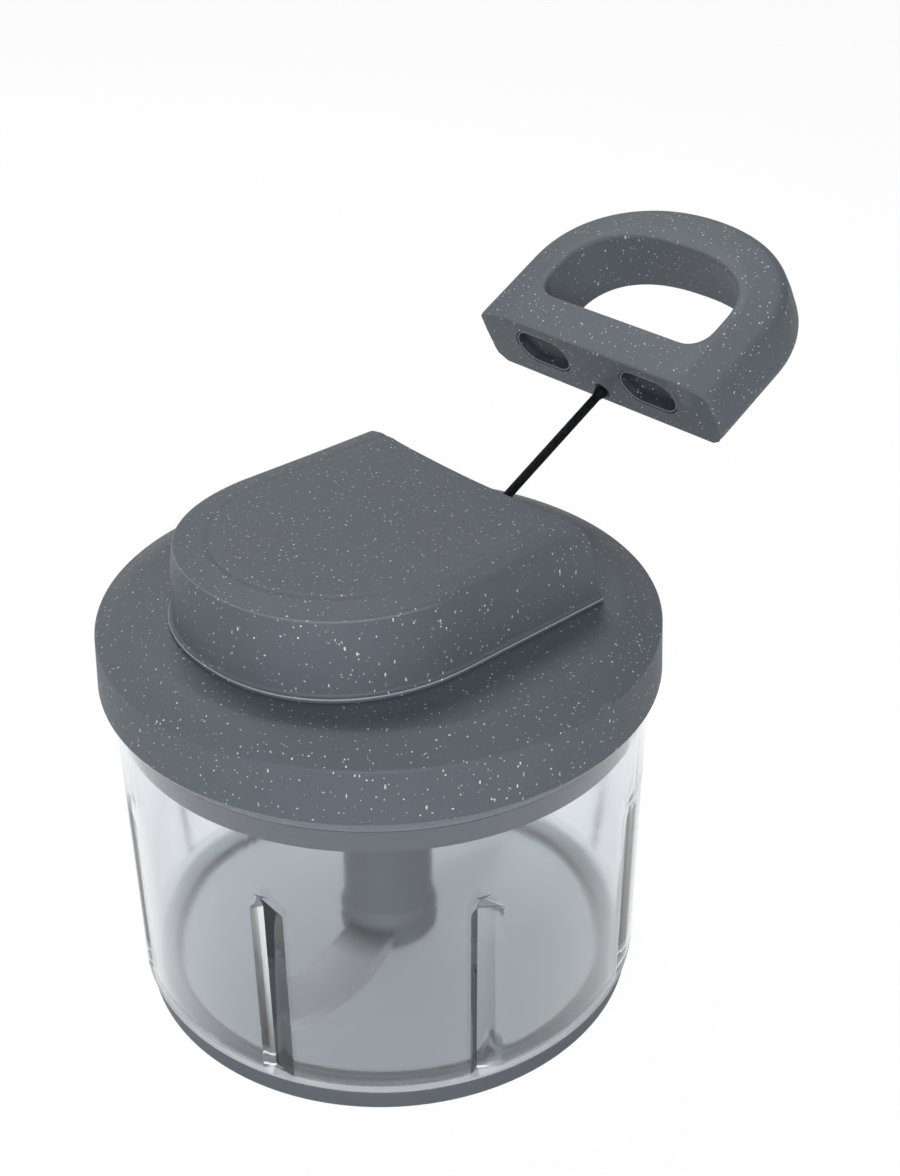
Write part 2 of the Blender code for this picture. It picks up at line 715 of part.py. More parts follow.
def dome_screw_places():
    """Where the dome's screws stand: one at the front and two beside the flat face."""
    return [
        (0, DOME_FRONT_SCREW_Y),
        (DOME_REAR_SCREW_X, DOME_REAR_SCREW_Y),
        (-DOME_REAR_SCREW_X, DOME_REAR_SCREW_Y),
    ]


def posts(name, places, radius, low, high, material, steps=SMALL_STEPS):
    """Upright round posts in one object, to join on or to cut with."""
    shape = bmesh.new()
    for centre in places:
        add_loft(shape, prism(circle(radius, steps, centre), low, high))
    return place(name, mesh_from(name, shape), material)


def lid_disc(material, tool):
    """The round lid moulding: crown, skirt, and bosses under it for the inner cover's screws."""
    inner = LID_RADIUS - SKIRT_WALL
    crown = []
    for i in range(CROWN_STEPS + 1):
        radius = CROWN_FLAT_RADIUS + (CROWN_EDGE_RADIUS - CROWN_FLAT_RADIUS) * i / CROWN_STEPS
        crown.append((radius, crown_height(radius)))
    under = [(min(radius, inner), height - LID_THICKNESS) for radius, height in reversed(crown)]
    edge_low = LID_TOP - CROWN_DROP - (LID_RADIUS - CROWN_EDGE_RADIUS)
    made = turned(
        "lid_disc",
        [
            (LID_HOLE_RADIUS, LID_TOP),
            *crown,
            (LID_RADIUS - SKIRT_DRAFT, edge_low),
            (LID_RADIUS, SKIRT_BOTTOM + SKIRT_EDGE / 2),
            (LID_RADIUS - SKIRT_EDGE / 2, SKIRT_BOTTOM),
            (inner, SKIRT_BOTTOM),
            *under,
            (LID_HOLE_RADIUS, LID_TOP - LID_THICKNESS),
        ],
        WIDE_STEPS,
        material,
    )
    boss_low = COVER_UNDERSIDE + COVER_THICKNESS + CLEARANCE
    boss_high = LID_TOP - LID_THICKNESS / 2
    hole = SCREW_RADIUS + CLEARANCE
    bosses = posts("lid_bosses", screw_places(), SCREW_BOSS_RADIUS, boss_low, boss_high, tool)
    cut(made, bosses, "UNION")
    screw_end = COVER_UNDERSIDE + SCREW_LENGTH + OVERRUN
    cut(made, posts("lid_boss_holes", screw_places(), hole, boss_low - OVERRUN, screw_end, tool))
    low = LID_TOP - LID_THICKNESS - OVERRUN
    cut(made, posts("lid_screw_holes", dome_screw_places(), hole, low, LID_TOP + OVERRUN, tool))


def inner_cover(material, tool):
    """The lid's underside: a plate with a collar for the drive, and the plug wall inside the bowl."""
    inner = PLUG_RADIUS - PLUG_WALL
    plate_top = COVER_UNDERSIDE + COVER_THICKNESS
    plug_top = crown_height(PLUG_RADIUS) - LID_THICKNESS - CLEARANCE
    groove = PLUG_RADIUS - SEAL_GROOVE
    collar = COLLAR_BORE + COLLAR_WALL
    made = turned(
        "inner_cover",
        [
            (COLLAR_BORE, COVER_UNDERSIDE),
            (inner - PLUG_WALL, COVER_UNDERSIDE),
            (inner, PLUG_BOTTOM),
            (PLUG_RADIUS - SKIRT_EDGE / 2, PLUG_BOTTOM),
            (PLUG_RADIUS, PLUG_BOTTOM + SKIRT_EDGE / 2),
            (PLUG_RADIUS, SEAL_Z - CLEARANCE),
            (groove, SEAL_Z - CLEARANCE),
            (groove, SEAL_Z + SEAL_HEIGHT + CLEARANCE),
            (PLUG_RADIUS, SEAL_Z + SEAL_HEIGHT + CLEARANCE),
            (PLUG_RADIUS, plug_top),
            (inner, plug_top),
            (inner, plate_top),
            (collar, plate_top),
            (collar, COLLAR_TOP),
            (COLLAR_BORE, COLLAR_TOP),
        ],
        WIDE_STEPS,
        material,
    )
    hole = SCREW_RADIUS + CLEARANCE
    low = COVER_UNDERSIDE - OVERRUN
    cut(made, posts("cover_holes", screw_places(), hole, low, plate_top + OVERRUN, tool))


def lid_seal(material):
    """The soft ring in the plug's groove, with a rounded lip towards the bowl."""
    inner = PLUG_RADIUS - SEAL_GROOVE + CLEARANCE
    outer = PLUG_RADIUS + SEAL_PROUD
    quarter = SEAL_HEIGHT / 4
    turned(
        "lid_seal",
        [
            (inner, SEAL_Z),
            (outer - quarter, SEAL_Z),
            (outer, SEAL_Z + quarter),
            (outer, SEAL_Z + SEAL_HEIGHT - quarter),
            (outer - quarter, SEAL_Z + SEAL_HEIGHT),
            (inner, SEAL_Z + SEAL_HEIGHT),
        ],
        WIDE_STEPS,
        material,
    )


def screws(name, places, under_head, material):
    """Identical screws, driven upwards, with their heads below the given height."""
    head_low = -CLEARANCE - SCREW_HEAD_HEIGHT
    shape = bmesh.new()
    add_loft(
        shape,
        [
            at_height(circle(SCREW_HEAD_RADIUS - SCREW_HEAD_EDGE, SMALL_STEPS), head_low),
            at_height(circle(SCREW_HEAD_RADIUS, SMALL_STEPS), head_low + SCREW_HEAD_EDGE),
            at_height(circle(SCREW_HEAD_RADIUS, SMALL_STEPS), -CLEARANCE),
            at_height(circle(SCREW_RADIUS, SMALL_STEPS), -CLEARANCE),
            at_height(circle(SCREW_RADIUS, SMALL_STEPS), SCREW_LENGTH),
        ],
    )
    mesh = mesh_from(name, shape)
    mesh.materials.append(material)
    for number, (x, y) in enumerate(places, 1):
        place(f"{name}_{number}", mesh, location=(x, y, under_head))


def face_y(height):
    """How far the dome's leaning flat face stands from the axis at one height."""
    return DOME_FACE_Y - (height - DOME_BASE) * tan(radians(DOME_FACE_LEAN))


def dome_loop(inset, height, power=DOME_POWER, wall=0.0):
    """The dome's outline at one height, drawn in at its sides and bow, and cut off by its flat face."""
    outline = d_outline(
        DOME_HALF_WIDTH - inset - wall,
        face_y(height) - wall / cos(radians(DOME_FACE_LEAN)),
        DOME_CENTRE_Y,
        DOME_TIP_Y + inset + wall,
        power,
        DOME_CORNER,
    )
    return at_height(outline, height)


def dome_cover(material, tool, face_line):
    """The D-shaped housing over the spool: upright walls, a broad shallow bevel and a flat top."""
    crease = DOME_LEAN + DOME_BAND
    loops = []
    for rise, lean in DOME_LEAN_SHARES:
        loops.append(dome_loop(DOME_LEAN * lean, DOME_BASE + DOME_SHOULDER * rise))
    loops.append(dome_loop(crease, DOME_TOP, DOME_CREASE_POWER))
    made = lofted("dome_cover", loops, material)
    roof = DOME_TOP - DOME_WALL
    cavity = [
        dome_loop(0, DOME_BASE - OVERRUN, wall=DOME_WALL),
        dome_loop(DOME_LEAN, DOME_BASE + DOME_SHOULDER * DOME_CAVITY_SHARE, wall=DOME_WALL),
        dome_loop(crease, roof, DOME_CREASE_POWER, DOME_WALL),
    ]
    cut(made, lofted("dome_cavity", cavity, tool))
    hole = SCREW_RADIUS + CLEARANCE
    boss_top = DOME_BASE + DOME_BOSS_HEIGHT
    cut(made, posts("dome_bosses", dome_screw_places(), SCREW_BOSS_RADIUS, DOME_BASE, roof, tool), "UNION")
    cut(made, posts("dome_boss_holes", dome_screw_places(), hole, DOME_BASE - OVERRUN, boss_top, tool))
    axis = [(0, 0)]
    cut(made, posts("axle_boss", axis, AXLE_BOSS_RADIUS, AXLE_BOSS_BOTTOM, roof, tool), "UNION")
    bore = AXLE_RADIUS + CLEARANCE
    cut(made, posts("axle_hole", axis, bore, AXLE_BOSS_BOTTOM - OVERRUN, AXLE_TOP + CLEARANCE, tool))
    cut(made, eye_hole(tool, face_line))
    for side in (-1, 1):
        cut(made, stud_pocket(side, tool, face_line))


def eye_hole(tool, face_line):
    """The round hole in the flat face that the eyelet sits in."""
    loops = prism(circle(EYELET_RADIUS + CLEARANCE, ROUND_STEPS), -DOME_WALL - OVERRUN, OVERRUN)
    return lofted("eye_hole", loops, tool, parent=face_line, rotation=(-pi / 2, 0, 0))


def stud_place(side):
    """The middle of a stud on the flat face, measured from the eye."""
    return side * STUD_SPACING / 2, HANDLE_CORD_DROP + STUD_RISE


def oval_loops(width, height, start, end, centre):
    """An oval bar along +Y, between two distances."""
    outline = stadium(width, height)
    return [[(centre[0] + x, y, centre[1] + z) for x, z in outline] for y in (start, end)]


def stud_pocket(side, tool, face_line):
    """The shallow pocket that seats one docking stud."""
    room = 2 * (OVAL_CLEARANCE - CLEARANCE)
    low = -STUD_SEAT - CLEARANCE
    loops = oval_loops(OVAL_WIDTH - room, OVAL_HEIGHT - room, low, OVERRUN, stud_place(side))
    return lofted(f"stud_pocket_{side}", loops, tool, parent=face_line)


def docking_studs(material, face_line):
    """The two oval studs on the dome's flat face that the handle's ovals close over."""
    width, height = OVAL_WIDTH - 2 * OVAL_CLEARANCE, OVAL_HEIGHT - 2 * OVAL_CLEARANCE
    edge = STUD_PROUD / 4
    for number, side in enumerate((-1, 1), 1):
        centre = stud_place(side)
        loops = oval_loops(width, height, -STUD_SEAT, STUD_PROUD - edge, centre)
        loops += oval_loops(width - 2 * edge, height - 2 * edge, STUD_PROUD, STUD_PROUD, centre)[:1]
        lofted(f"docking_stud_{number}", loops, material, parent=face_line)


def cord_eyelet(material, face_line):
    """The flared eyelet in the flat face. Its throat guides the cord, and its mouth lets it swing."""
    back = -DOME_WALL - CLEARANCE
    throat = CORD_BORE + CLEARANCE
    mouth = []
    for i in range(EYELET_STEPS + 1):
        turn = pi / 2 * i / EYELET_STEPS
        mouth.append((throat + (EYELET_MOUTH - throat) * (1 - cos(turn)), -DOME_WALL * (1 - sin(turn))))
    turned(
        "cord_eyelet",
        [
            *mouth,
            (EYELET_RADIUS, 0),
            (EYELET_RADIUS, back),
            (EYELET_FLANGE, back),
            (EYELET_FLANGE, back - EYELET_FLANGE_THICKNESS),
            (throat, back - EYELET_FLANGE_THICKNESS),
        ],
        ROUND_STEPS,
        material,
        parent=face_line,
        rotation=(-pi / 2, 0, 0),
    )


def axle_pin(material):
    """The fixed axle, held in the dome's boss and running down into the drive coupler."""
    profile = [(0, AXLE_BOTTOM), (AXLE_RADIUS, AXLE_BOTTOM), (AXLE_RADIUS, AXLE_TOP), (0, AXLE_TOP)]
    turned("axle_pin", profile, SMALL_STEPS, material)


def thrust_washer(material):
    """The washer between the spool's cover and the dome's axle boss."""
    inner, top = AXLE_RADIUS + CLEARANCE, WASHER_BOTTOM + WASHER_THICKNESS
    profile = [(inner, WASHER_BOTTOM), (WASHER_RADIUS, WASHER_BOTTOM), (WASHER_RADIUS, top), (inner, top)]
    turned("thrust_washer", profile, SMALL_STEPS, material)


def shaft_bush(material):
    """The flanged bush in the inner cover's collar, round the coupler's shaft."""
    inner = SHAFT_RADIUS + CLEARANCE
    flange_low = COLLAR_TOP + CLEARANCE
    flange_top = flange_low + SHAFT_BUSH_FLANGE
    flange = COLLAR_BORE + COLLAR_WALL
    turned(
        "shaft_bush",
        [
            (inner, COVER_UNDERSIDE),
            (SHAFT_BUSH_RADIUS, COVER_UNDERSIDE),
            (SHAFT_BUSH_RADIUS, flange_low),
            (flange, flange_low),
            (flange, flange_top),
            (inner, flange_top),
        ],
        ROUND_STEPS,
        material,
    )


def ratchet_outline():
    """The cup's inside: one saw tooth after another, steep on the side that a pawl pushes."""
    points = []
    for tooth in range(RATCHET_TEETH):
        start = 2 * pi * tooth / RATCHET_TEETH
        for share, depth in RATCHET_TOOTH_SHARES:
            turn = start + 2 * pi / RATCHET_TEETH * share
            radius = RATCHET_RADIUS + RATCHET_DEPTH * depth
            points.append((radius * cos(turn), radius * sin(turn)))
    return points


def drive_coupler(material, tool):
    """The clutch's ratchet cup, its shaft through the inner cover, and the hexagon that drives the hub."""
    bore = AXLE_RADIUS + CLEARANCE
    hex_top = COVER_UNDERSIDE - COVER_THICKNESS
    made = turned(
        "drive_coupler",
        [
            (0, hex_top),
            (SHAFT_RADIUS, hex_top),
            (SHAFT_RADIUS, CLUTCH_BOTTOM),
            (CLUTCH_RADIUS, CLUTCH_BOTTOM),
            (CLUTCH_RADIUS, CLUTCH_TOP),
            (RATCHET_RADIUS - RATCHET_DEPTH / 4, CLUTCH_TOP),
            (RATCHET_RADIUS - RATCHET_DEPTH / 4, CLUTCH_INSIDE),
            (bore, CLUTCH_INSIDE),
            (bore, AXLE_BOTTOM - CLEARANCE),
            (0, AXLE_BOTTOM - CLEARANCE),
        ],
        ROUND_STEPS,
        material,
    )
    cut(made, lofted("ratchet_inside", prism(ratchet_outline(), CLUTCH_INSIDE, CLUTCH_TOP + OVERRUN), tool))
    small = circle(HEX_RADIUS - HEX_CHAMFER, 6)
    full = circle(HEX_RADIUS, 6)
    hexagon = [
        at_height(small, HEX_BOTTOM),
        at_height(full, HEX_BOTTOM + HEX_CHAMFER),
        at_height(full, hex_top + HEX_CHAMFER),
    ]
    cut(made, lofted("drive_hexagon", hexagon, tool), "UNION")


def pawl_angle(number):
    return 2 * pi * number / PAWL_COUNT


def cord_spool(material, tool):
    """The spool: two flanges and a core over the spring's cavity, and a neck with the pawls' posts below."""
    bore = AXLE_RADIUS + CLEARANCE
    throat_top = THROAT_BOTTOM + SPOOL_THROAT
    carrier_top = CARRIER_BOTTOM + CARRIER_THICKNESS
    made = turned(
        "cord_spool",
        [
            (bore, CARRIER_BOTTOM),
            (CARRIER_RADIUS, CARRIER_BOTTOM),
            (CARRIER_RADIUS, carrier_top),
            (NECK_RADIUS, carrier_top),
            (NECK_RADIUS, SPOOL_BOTTOM),
            (SPOOL_FLANGE_RADIUS, SPOOL_BOTTOM),
            (SPOOL_FLANGE_RADIUS, THROAT_BOTTOM),
            (SPOOL_CORE_RADIUS, THROAT_BOTTOM),
            (SPOOL_CORE_RADIUS, throat_top),
            (SPOOL_FLANGE_RADIUS, throat_top),
            (SPOOL_FLANGE_RADIUS, SPOOL_TOP),
            (CAVITY_RADIUS, SPOOL_TOP),
            (CAVITY_RADIUS, CAVITY_BOTTOM),
            (bore, CAVITY_BOTTOM),
        ],
        ROUND_STEPS,
        material,
    )
    places = circle(PAWL_ORBIT, PAWL_COUNT)
    low = CARRIER_BOTTOM - PAWL_HEIGHT - PAWL_WIRE - 2 * CLEARANCE
    pegs = posts("pawl_posts", places, PAWL_POST_RADIUS, low, CARRIER_BOTTOM + CARRIER_THICKNESS / 2, tool)
    cut(made, pegs, "UNION")


def pawl(number, material, tool):
    """One pawl on its post, its nose leaning out into the ratchet."""
    top = CARRIER_BOTTOM - PAWL_WIRE - 2 * CLEARANCE
    low = top - PAWL_HEIGHT + CLEARANCE
    outline = []
    for i in range(SMALL_STEPS):
        turn = pi + radians(PAWL_ROUND) * (i / (SMALL_STEPS - 1) - 1 / 2)
        outline.append((PAWL_HUB_RADIUS * cos(turn), PAWL_HUB_RADIUS * sin(turn)))
    outline += [(PAWL_REACH, -PAWL_NOSE), (PAWL_REACH, PAWL_NOSE)]
    angle = pawl_angle(number)
    centre = (PAWL_ORBIT * cos(angle), PAWL_ORBIT * sin(angle), 0)
    turn = (0, 0, angle + radians(PAWL_LEAN))
    made = lofted(f"pawl_{number + 1}", prism(outline, low, top), material, location=centre, rotation=turn)
    hole = prism(circle(PAWL_POST_RADIUS + CLEARANCE, SMALL_STEPS), low - OVERRUN, top + OVERRUN)
    cut(made, lofted(f"pawl_hole_{number + 1}", hole, tool, location=centre, rotation=turn))


def pawl_spring(number, material):
    """A fine wire loop on a post, whose tail presses its pawl outwards."""
    name = f"pawl_spring_{number + 1}"
    curve = bpy.data.curves.new(name, "CURVE")
    curve.dimensions = "3D"
    curve.bevel_depth = PAWL_WIRE / 2
    curve.bevel_resolution = 1
    curve.use_fill_caps = True
    radius = PAWL_POST_RADIUS + CLEARANCE + PAWL_WIRE / 2
    arc = radians(PAWL_COIL_ARC)
    points = []
    for i in range(SMALL_STEPS + 1):
        turn = arc * (i / SMALL_STEPS - 1)
        points.append((radius * cos(turn), radius * sin(turn)))
    points.append((radius, PAWL_HUB_RADIUS))
    spline = curve.splines.new("POLY")
    spline.points.add(len(points) - 1)
    for knot, (x, y) in zip(spline.points, points):
        knot.co = (x, y, 0, 1)
    angle = pawl_angle(number)
    height = CARRIER_BOTTOM - CLEARANCE - PAWL_WIRE / 2
    centre = (PAWL_ORBIT * cos(angle), PAWL_ORBIT * sin(angle), height)
    place(name, curve, material, location=centre, rotation=(0, 0, angle + radians(PAWL_LEAN)))


def power_spring(material):
    """The flat spiral that winds the spool back, hooked at the axle and wound out to the spool's wall."""
    start = AXLE_RADIUS + CLEARANCE + SPRING_THICKNESS / 2
    end = CAVITY_RADIUS - SPRING_COVER_LIP_WALL - 2 * CLEARANCE - SPRING_THICKNESS / 2
    steps = SPRING_TURNS * SPRING_TURN_STEPS
    inside, outside = [], []
    for i in range(steps + 1):
        turn = 2 * pi * SPRING_TURNS * i / steps
        middle = start + (end - start) * i / steps
        for side, edge in ((-1, inside), (1, outside)):
            radius = middle + side * SPRING_THICKNESS / 2
            edge.append((radius * cos(turn), radius * sin(turn)))
    low = CAVITY_BOTTOM + CLEARANCE
    shape = bmesh.new()
    rings = []
    for (x1, y1), (x2, y2) in zip(inside, outside):
        corners = [(x1, y1, low), (x2, y2, low), (x2, y2, low + SPRING_HEIGHT), (x1, y1, low + SPRING_HEIGHT)]
        rings.append([shape.verts.new(corner) for corner in corners])
    for near, far in zip(rings, rings[1:]):
        for i in range(4):
            j = (i + 1) % 4
            shape.faces.new((near[i], near[j], far[j], far[i]))
    shape.faces.new(rings[0])
    shape.faces.new(rings[-1])
    place("power_spring", mesh_from("power_spring", shape), material)


def spring_cover(material):
    """The lid of the spring's cavity, with a lip that centres it in the spool."""
    inner = AXLE_RADIUS + CLEARANCE
    top = SPRING_COVER_BOTTOM + SPRING_COVER_THICKNESS
    lip = CAVITY_RADIUS - CLEARANCE
    lip_low = SPOOL_TOP - SPRING_COVER_LIP
    turned(
        "spring_cover",
        [
            (inner, SPRING_COVER_BOTTOM),
            (lip - SPRING_COVER_LIP_WALL, SPRING_COVER_BOTTOM),
            (lip - SPRING_COVER_LIP_WALL, lip_low),
            (lip, lip_low),
            (lip, SPRING_COVER_BOTTOM),
            (SPRING_COVER_RADIUS, SPRING_COVER_BOTTOM),
            (SPRING_COVER_RADIUS, top),
            (inner, top),
        ],
        ROUND_STEPS,
        material,
    )


def on_eye_axis(depth):
    """A point on the eyelet's axis, so far in from the flat face."""
    lean = radians(DOME_FACE_LEAN)
    return 0, EYE_Y - depth * cos(lean), EYE_Z - depth * sin(lean)


def lead_start():
    """Where the cord leaves the spool for the eye: the point of tangency, and its angle."""
    angle = pi / 2 - acos(LEAD_RADIUS / on_eye_axis(LEAD_BEND_DEPTH)[1])
    return LEAD_RADIUS * cos(angle), LEAD_RADIUS * sin(angle), angle


def winding_height(share):
    """The winding climbs from the lower flange to the upper one."""
    low = THROAT_BOTTOM + CLEARANCE + CORD_DIAMETER / 2
    high = THROAT_BOTTOM + SPOOL_THROAT - CLEARANCE - CORD_DIAMETER / 2
    return low + (high - low) * share


def cord_winding(material):
    """The cord wound on the spool. Its least gap between turns is printed."""
    end_angle = lead_start()[2]
    steps = round(WINDING_TURNS * WINDING_TURN_STEPS)
    points = []
    for i in range(steps + 1):
        turn = end_angle - 2 * pi * WINDING_TURNS * (1 - i / steps)
        points.append((WINDING_RADIUS * cos(turn), WINDING_RADIUS * sin(turn), winding_height(i / steps)))
    climb = (winding_height(1) - winding_height(0)) / WINDING_TURNS
    print(f"cord_winding: least gap between turns {(climb - CORD_DIAMETER) * 1000:.2f} mm")
    cord_run("cord_winding", points, material)


def cord_lead(material):
    """The cord from the spool to the eye, bent where it enters the eyelet."""
    x, y, _ = lead_start()
    points = straight_points((x, y, winding_height(1)), on_eye_axis(LEAD_BEND_DEPTH))
    points.append(on_eye_axis(PIVOT_INSET + CLEARANCE))
    cord_run("cord_lead", points, material)


def handle_outline(inset, face_inset):
    """The handle in plan, from its flat face to its bow."""
    return d_outline(
        HANDLE_HALF_WIDTH - inset,
        face_inset,
        HANDLE_STRAIGHT,
        HANDLE_LENGTH - inset,
        HANDLE_POWER,
        HANDLE_CORNER,
    )


def hole_outline(grow):
    """The finger hole in plan: straight along the bar, bowed along the grip."""
    return d_outline(
        HOLE_HALF_WIDTH + grow,
        HOLE_START - grow / 3,
        HOLE_START + HOLE_STRAIGHT,
        HOLE_END + grow,
        HOLE_POWER,
        HOLE_CORNER,
    )


def bar_tool(name, profile, steps, tool, parent):
    """A turned tool along the cord, starting at the handle's flat face."""
    where = {"parent": parent, "location": (0, FACE_DISTANCE, 0), "rotation": (-pi / 2, 0, 0)}
    return turned(name, profile, steps, tool, **where)


def pull_handle(material, tool, cord_line):
    """The D-shaped handle: finger hole, two ovals in the flat face, and the cord's bore with its pocket."""
    loops = [
        at_height(handle_outline(HANDLE_INSET * inset, HANDLE_FACE_EDGE * face), HANDLE_HEIGHT * rise)
        for rise, inset, face in HANDLE_SECTION_SHARES
    ]
    centre = (0, FACE_DISTANCE, FACE_CENTRE_Z)
    made = lofted("pull_handle", loops, material, parent=cord_line, location=centre)
    half = HANDLE_HEIGHT / 2
    hole = [at_height(hole_outline(HOLE_FLARE), -half - OVERRUN)]
    hole += [at_height(hole_outline(HOLE_FLARE * flare), half * rise) for rise, flare in HOLE_FLARE_SHARES]
    hole.append(at_height(hole_outline(0), half + OVERRUN))
    cut(made, lofted("finger_hole", hole, tool, parent=cord_line, location=centre))
    for side in (-1, 1):
        oval = oval_loops(OVAL_WIDTH, OVAL_HEIGHT, -OVERRUN, OVAL_DEPTH, (side * STUD_SPACING / 2, STUD_RISE))
        cut(made, lofted(f"handle_oval_{side}", oval, tool, parent=cord_line, location=centre))
    pocket = HOLE_START - KNOT_POCKET_DEPTH
    bore = [
        (0, -OVERRUN),
        (HANDLE_MOUTH_RADIUS, -OVERRUN),
        (HANDLE_MOUTH_RADIUS, 0),
        (CORD_BORE, HANDLE_MOUTH_DEPTH),
        (CORD_BORE, pocket),
        (KNOT_RADIUS + CLEARANCE, pocket),
        (KNOT_RADIUS + CLEARANCE, HOLE_START + OVERRUN),
        (0, HOLE_START + OVERRUN),
    ]
    cut(made, bar_tool("handle_bore", bore, SMALL_STEPS, tool, cord_line))


def cord_knot(material, cord_line):
    """The stopper knot in the bar's pocket: a rounded lump with a waist."""
    start = FACE_DISTANCE + HOLE_START - KNOT_POCKET_DEPTH + CLEARANCE
    lump = [(KNOT_RADIUS * out, KNOT_LENGTH * along) for along, out in KNOT_SHARES]
    profile = [(0, 0), *lump, (0, KNOT_LENGTH)]
    where = {"parent": cord_line, "location": (0, start, 0), "rotation": (-pi / 2, 0, 0)}
    turned("cord_knot", profile, SMALL_STEPS, material, **where)


def cord_stretches(material, cord_line):
    """The cord from the eye to the handle: the stub that swings, the free stretch and the part in the bar."""
    entry = FACE_DISTANCE + CORD_ENTRY_DEPTH
    knot = FACE_DISTANCE + HOLE_START - KNOT_POCKET_DEPTH
    runs = {
        "cord_in_eyelet": (STUB_START, STUB_END),
        "pull_cord": (STUB_END + CLEARANCE, entry),
        "cord_in_handle": (entry + CLEARANCE, knot),
    }
    for name, (start, end) in runs.items():
        cord_run(name, straight_points((0, start, 0), (0, end, 0)), material, parent=cord_line)


def make_line(name, depth, slope):
    """An empty on the eyelet's axis, tipped so that its Y axis rises at a slope."""
    line = bpy.data.objects.new(name, None)
    bpy.context.scene.collection.objects.link(line)
    line.location = on_eye_axis(depth)
    line.rotation_euler = (radians(slope), 0, 0)
    return line


def main():
    for old in list(bpy.data.objects):
        bpy.data.objects.remove(old)
    grey = make_material("slate_plastic", (0.115, 0.140, 0.162), 0.55)
    clear = make_material("clear_plastic", (0.86, 0.90, 0.94), 0.08, alpha=0.3)
    rubber = make_material("grey_rubber", (0.10, 0.12, 0.14), 0.8)
    steel = make_material("steel", (0.62, 0.63, 0.65), 0.25, metallic=1.0)
    white = make_material("white_plastic", (0.78, 0.78, 0.76), 0.4)
    cord = make_material("black_cord", (0.012, 0.012, 0.014), 0.7)
    tool = make_material("tool", (0.8, 0.1, 0.1), 0.5)

    base_ring(rubber)
    bowl(clear)
    pivot_pin(steel)
    blade_hub(grey, tool)
    hub_bush(white)
    blade("lower_blade", LOWER_BLADE_Z, LOWER_BLADE_ANGLE, steel)
    blade("upper_blade", UPPER_BLADE_Z, UPPER_BLADE_ANGLE, steel)

    lid_disc(grey, tool)
    inner_cover(grey, tool)
    lid_seal(rubber)
    screws("cover_screw", screw_places(), COVER_UNDERSIDE, steel)
    screws("dome_screw", dome_screw_places(), LID_TOP - LID_THICKNESS, steel)
    face_line = make_line("face_line", 0, DOME_FACE_LEAN)
    dome_cover(grey, tool, face_line)
    docking_studs(rubber, face_line)
    cord_eyelet(steel, face_line)
    axle_pin(steel)
    thrust_washer(steel)
    shaft_bush(white)
    power_spring(steel)
    cord_lead(cord)

    cord_spool(white, tool)
    cord_winding(cord)
    spring_cover(white)
    for number in range(PAWL_COUNT):
        pawl(number, white, tool)
        pawl_spring(number, steel)
    drive_coupler(white, tool)

    cord_line = make_line("cord_line", PIVOT_INSET, CORD_SLOPE)
    cord_stretches(cord, cord_line)
    pull_handle(grey, tool, cord_line)
    cord_knot(cord, cord_line)


main()
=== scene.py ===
"""Pull cord food chopper: its finish and fine shapes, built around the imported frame.

The frame's axes hold: the origin is the middle of the bowl's underside, +Z is up and the cord is
pulled towards +Y. Lengths are in metres and angles in degrees.
"""

from math import atan2, cos, degrees, hypot, pi, radians, sin, sqrt, tan

import bmesh
import bpy
from mathutils import Matrix, Vector


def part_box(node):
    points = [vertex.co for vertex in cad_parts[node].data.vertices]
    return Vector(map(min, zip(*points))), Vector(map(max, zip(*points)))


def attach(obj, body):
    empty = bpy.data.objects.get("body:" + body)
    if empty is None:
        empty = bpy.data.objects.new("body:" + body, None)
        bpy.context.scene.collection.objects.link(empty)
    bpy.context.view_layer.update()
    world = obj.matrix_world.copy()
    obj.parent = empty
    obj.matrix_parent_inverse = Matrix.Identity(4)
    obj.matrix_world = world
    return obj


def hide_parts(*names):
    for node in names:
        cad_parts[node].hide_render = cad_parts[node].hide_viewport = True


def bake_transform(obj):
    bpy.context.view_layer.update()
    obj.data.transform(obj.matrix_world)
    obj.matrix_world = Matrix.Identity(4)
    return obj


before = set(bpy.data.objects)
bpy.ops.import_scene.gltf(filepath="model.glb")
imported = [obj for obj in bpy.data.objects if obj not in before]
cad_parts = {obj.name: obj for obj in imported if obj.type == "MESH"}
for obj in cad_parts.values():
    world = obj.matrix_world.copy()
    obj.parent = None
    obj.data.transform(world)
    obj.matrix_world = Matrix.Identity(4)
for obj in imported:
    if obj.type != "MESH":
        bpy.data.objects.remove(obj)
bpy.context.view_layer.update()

# Shared values
CLEARANCE = 0.0003
OVERRUN = 0.0020
TURN_STEPS = 144
SMALL_TURN_STEPS = 40
FILLET_STEPS = 4
SHARP_ANGLE = 38.0
ON_AXIS = CLEARANCE / 100

# Camera, at the photograph's place and angle
CAMERA_PLACE = (0.2757, -0.2318, 0.3141)
CAMERA_AIM = (0.0112, 0.0123, 0.1047)
CAMERA_ROLL = -0.49
CAMERA_LENS_MM = 54.33
SENSOR_HEIGHT_MM = 36.0

# Base ring and bowl
RING_WIDTH = 0.0060
BOWL_FOOT_RADIUS = 0.0632
BOWL_RIM_RADIUS = 0.0642
BOWL_WALL = 0.0025
BOWL_FLOOR = 0.0024
BOWL_FLOOR_RISE = 0.0028
BOWL_CURL = 0.0060
BOWL_CURL_TOP = 0.0090
BOWL_CORNER = 0.0045
BOWL_OUTER_CORNER = 0.0018
BEAD_TOP = 0.0862
BEAD_HEIGHT = 0.0016
BEAD_PROUD = 0.0014
BOSS_RADIUS = 0.0065
BOSS_HEIGHT = 0.0034
PIN_HOLE_RADIUS = 0.0023
PIN_HOLE_BOTTOM = 0.0010
RIB_COUNT = 8
RIB_PHASE = 24.9
RIB_WIDTH = 0.0082
RIB_DEPTH = 0.0020
# Painted shade: a dark tint on one face and the gable of the two ribs that face the camera
RIB_PAINTED_SHADE = (0.045, 0.058, 0.068, 1)
FRONT_RIBS = {6: "broad", 7: "steep"}
RIB_SIDE_SHARE = 0.25
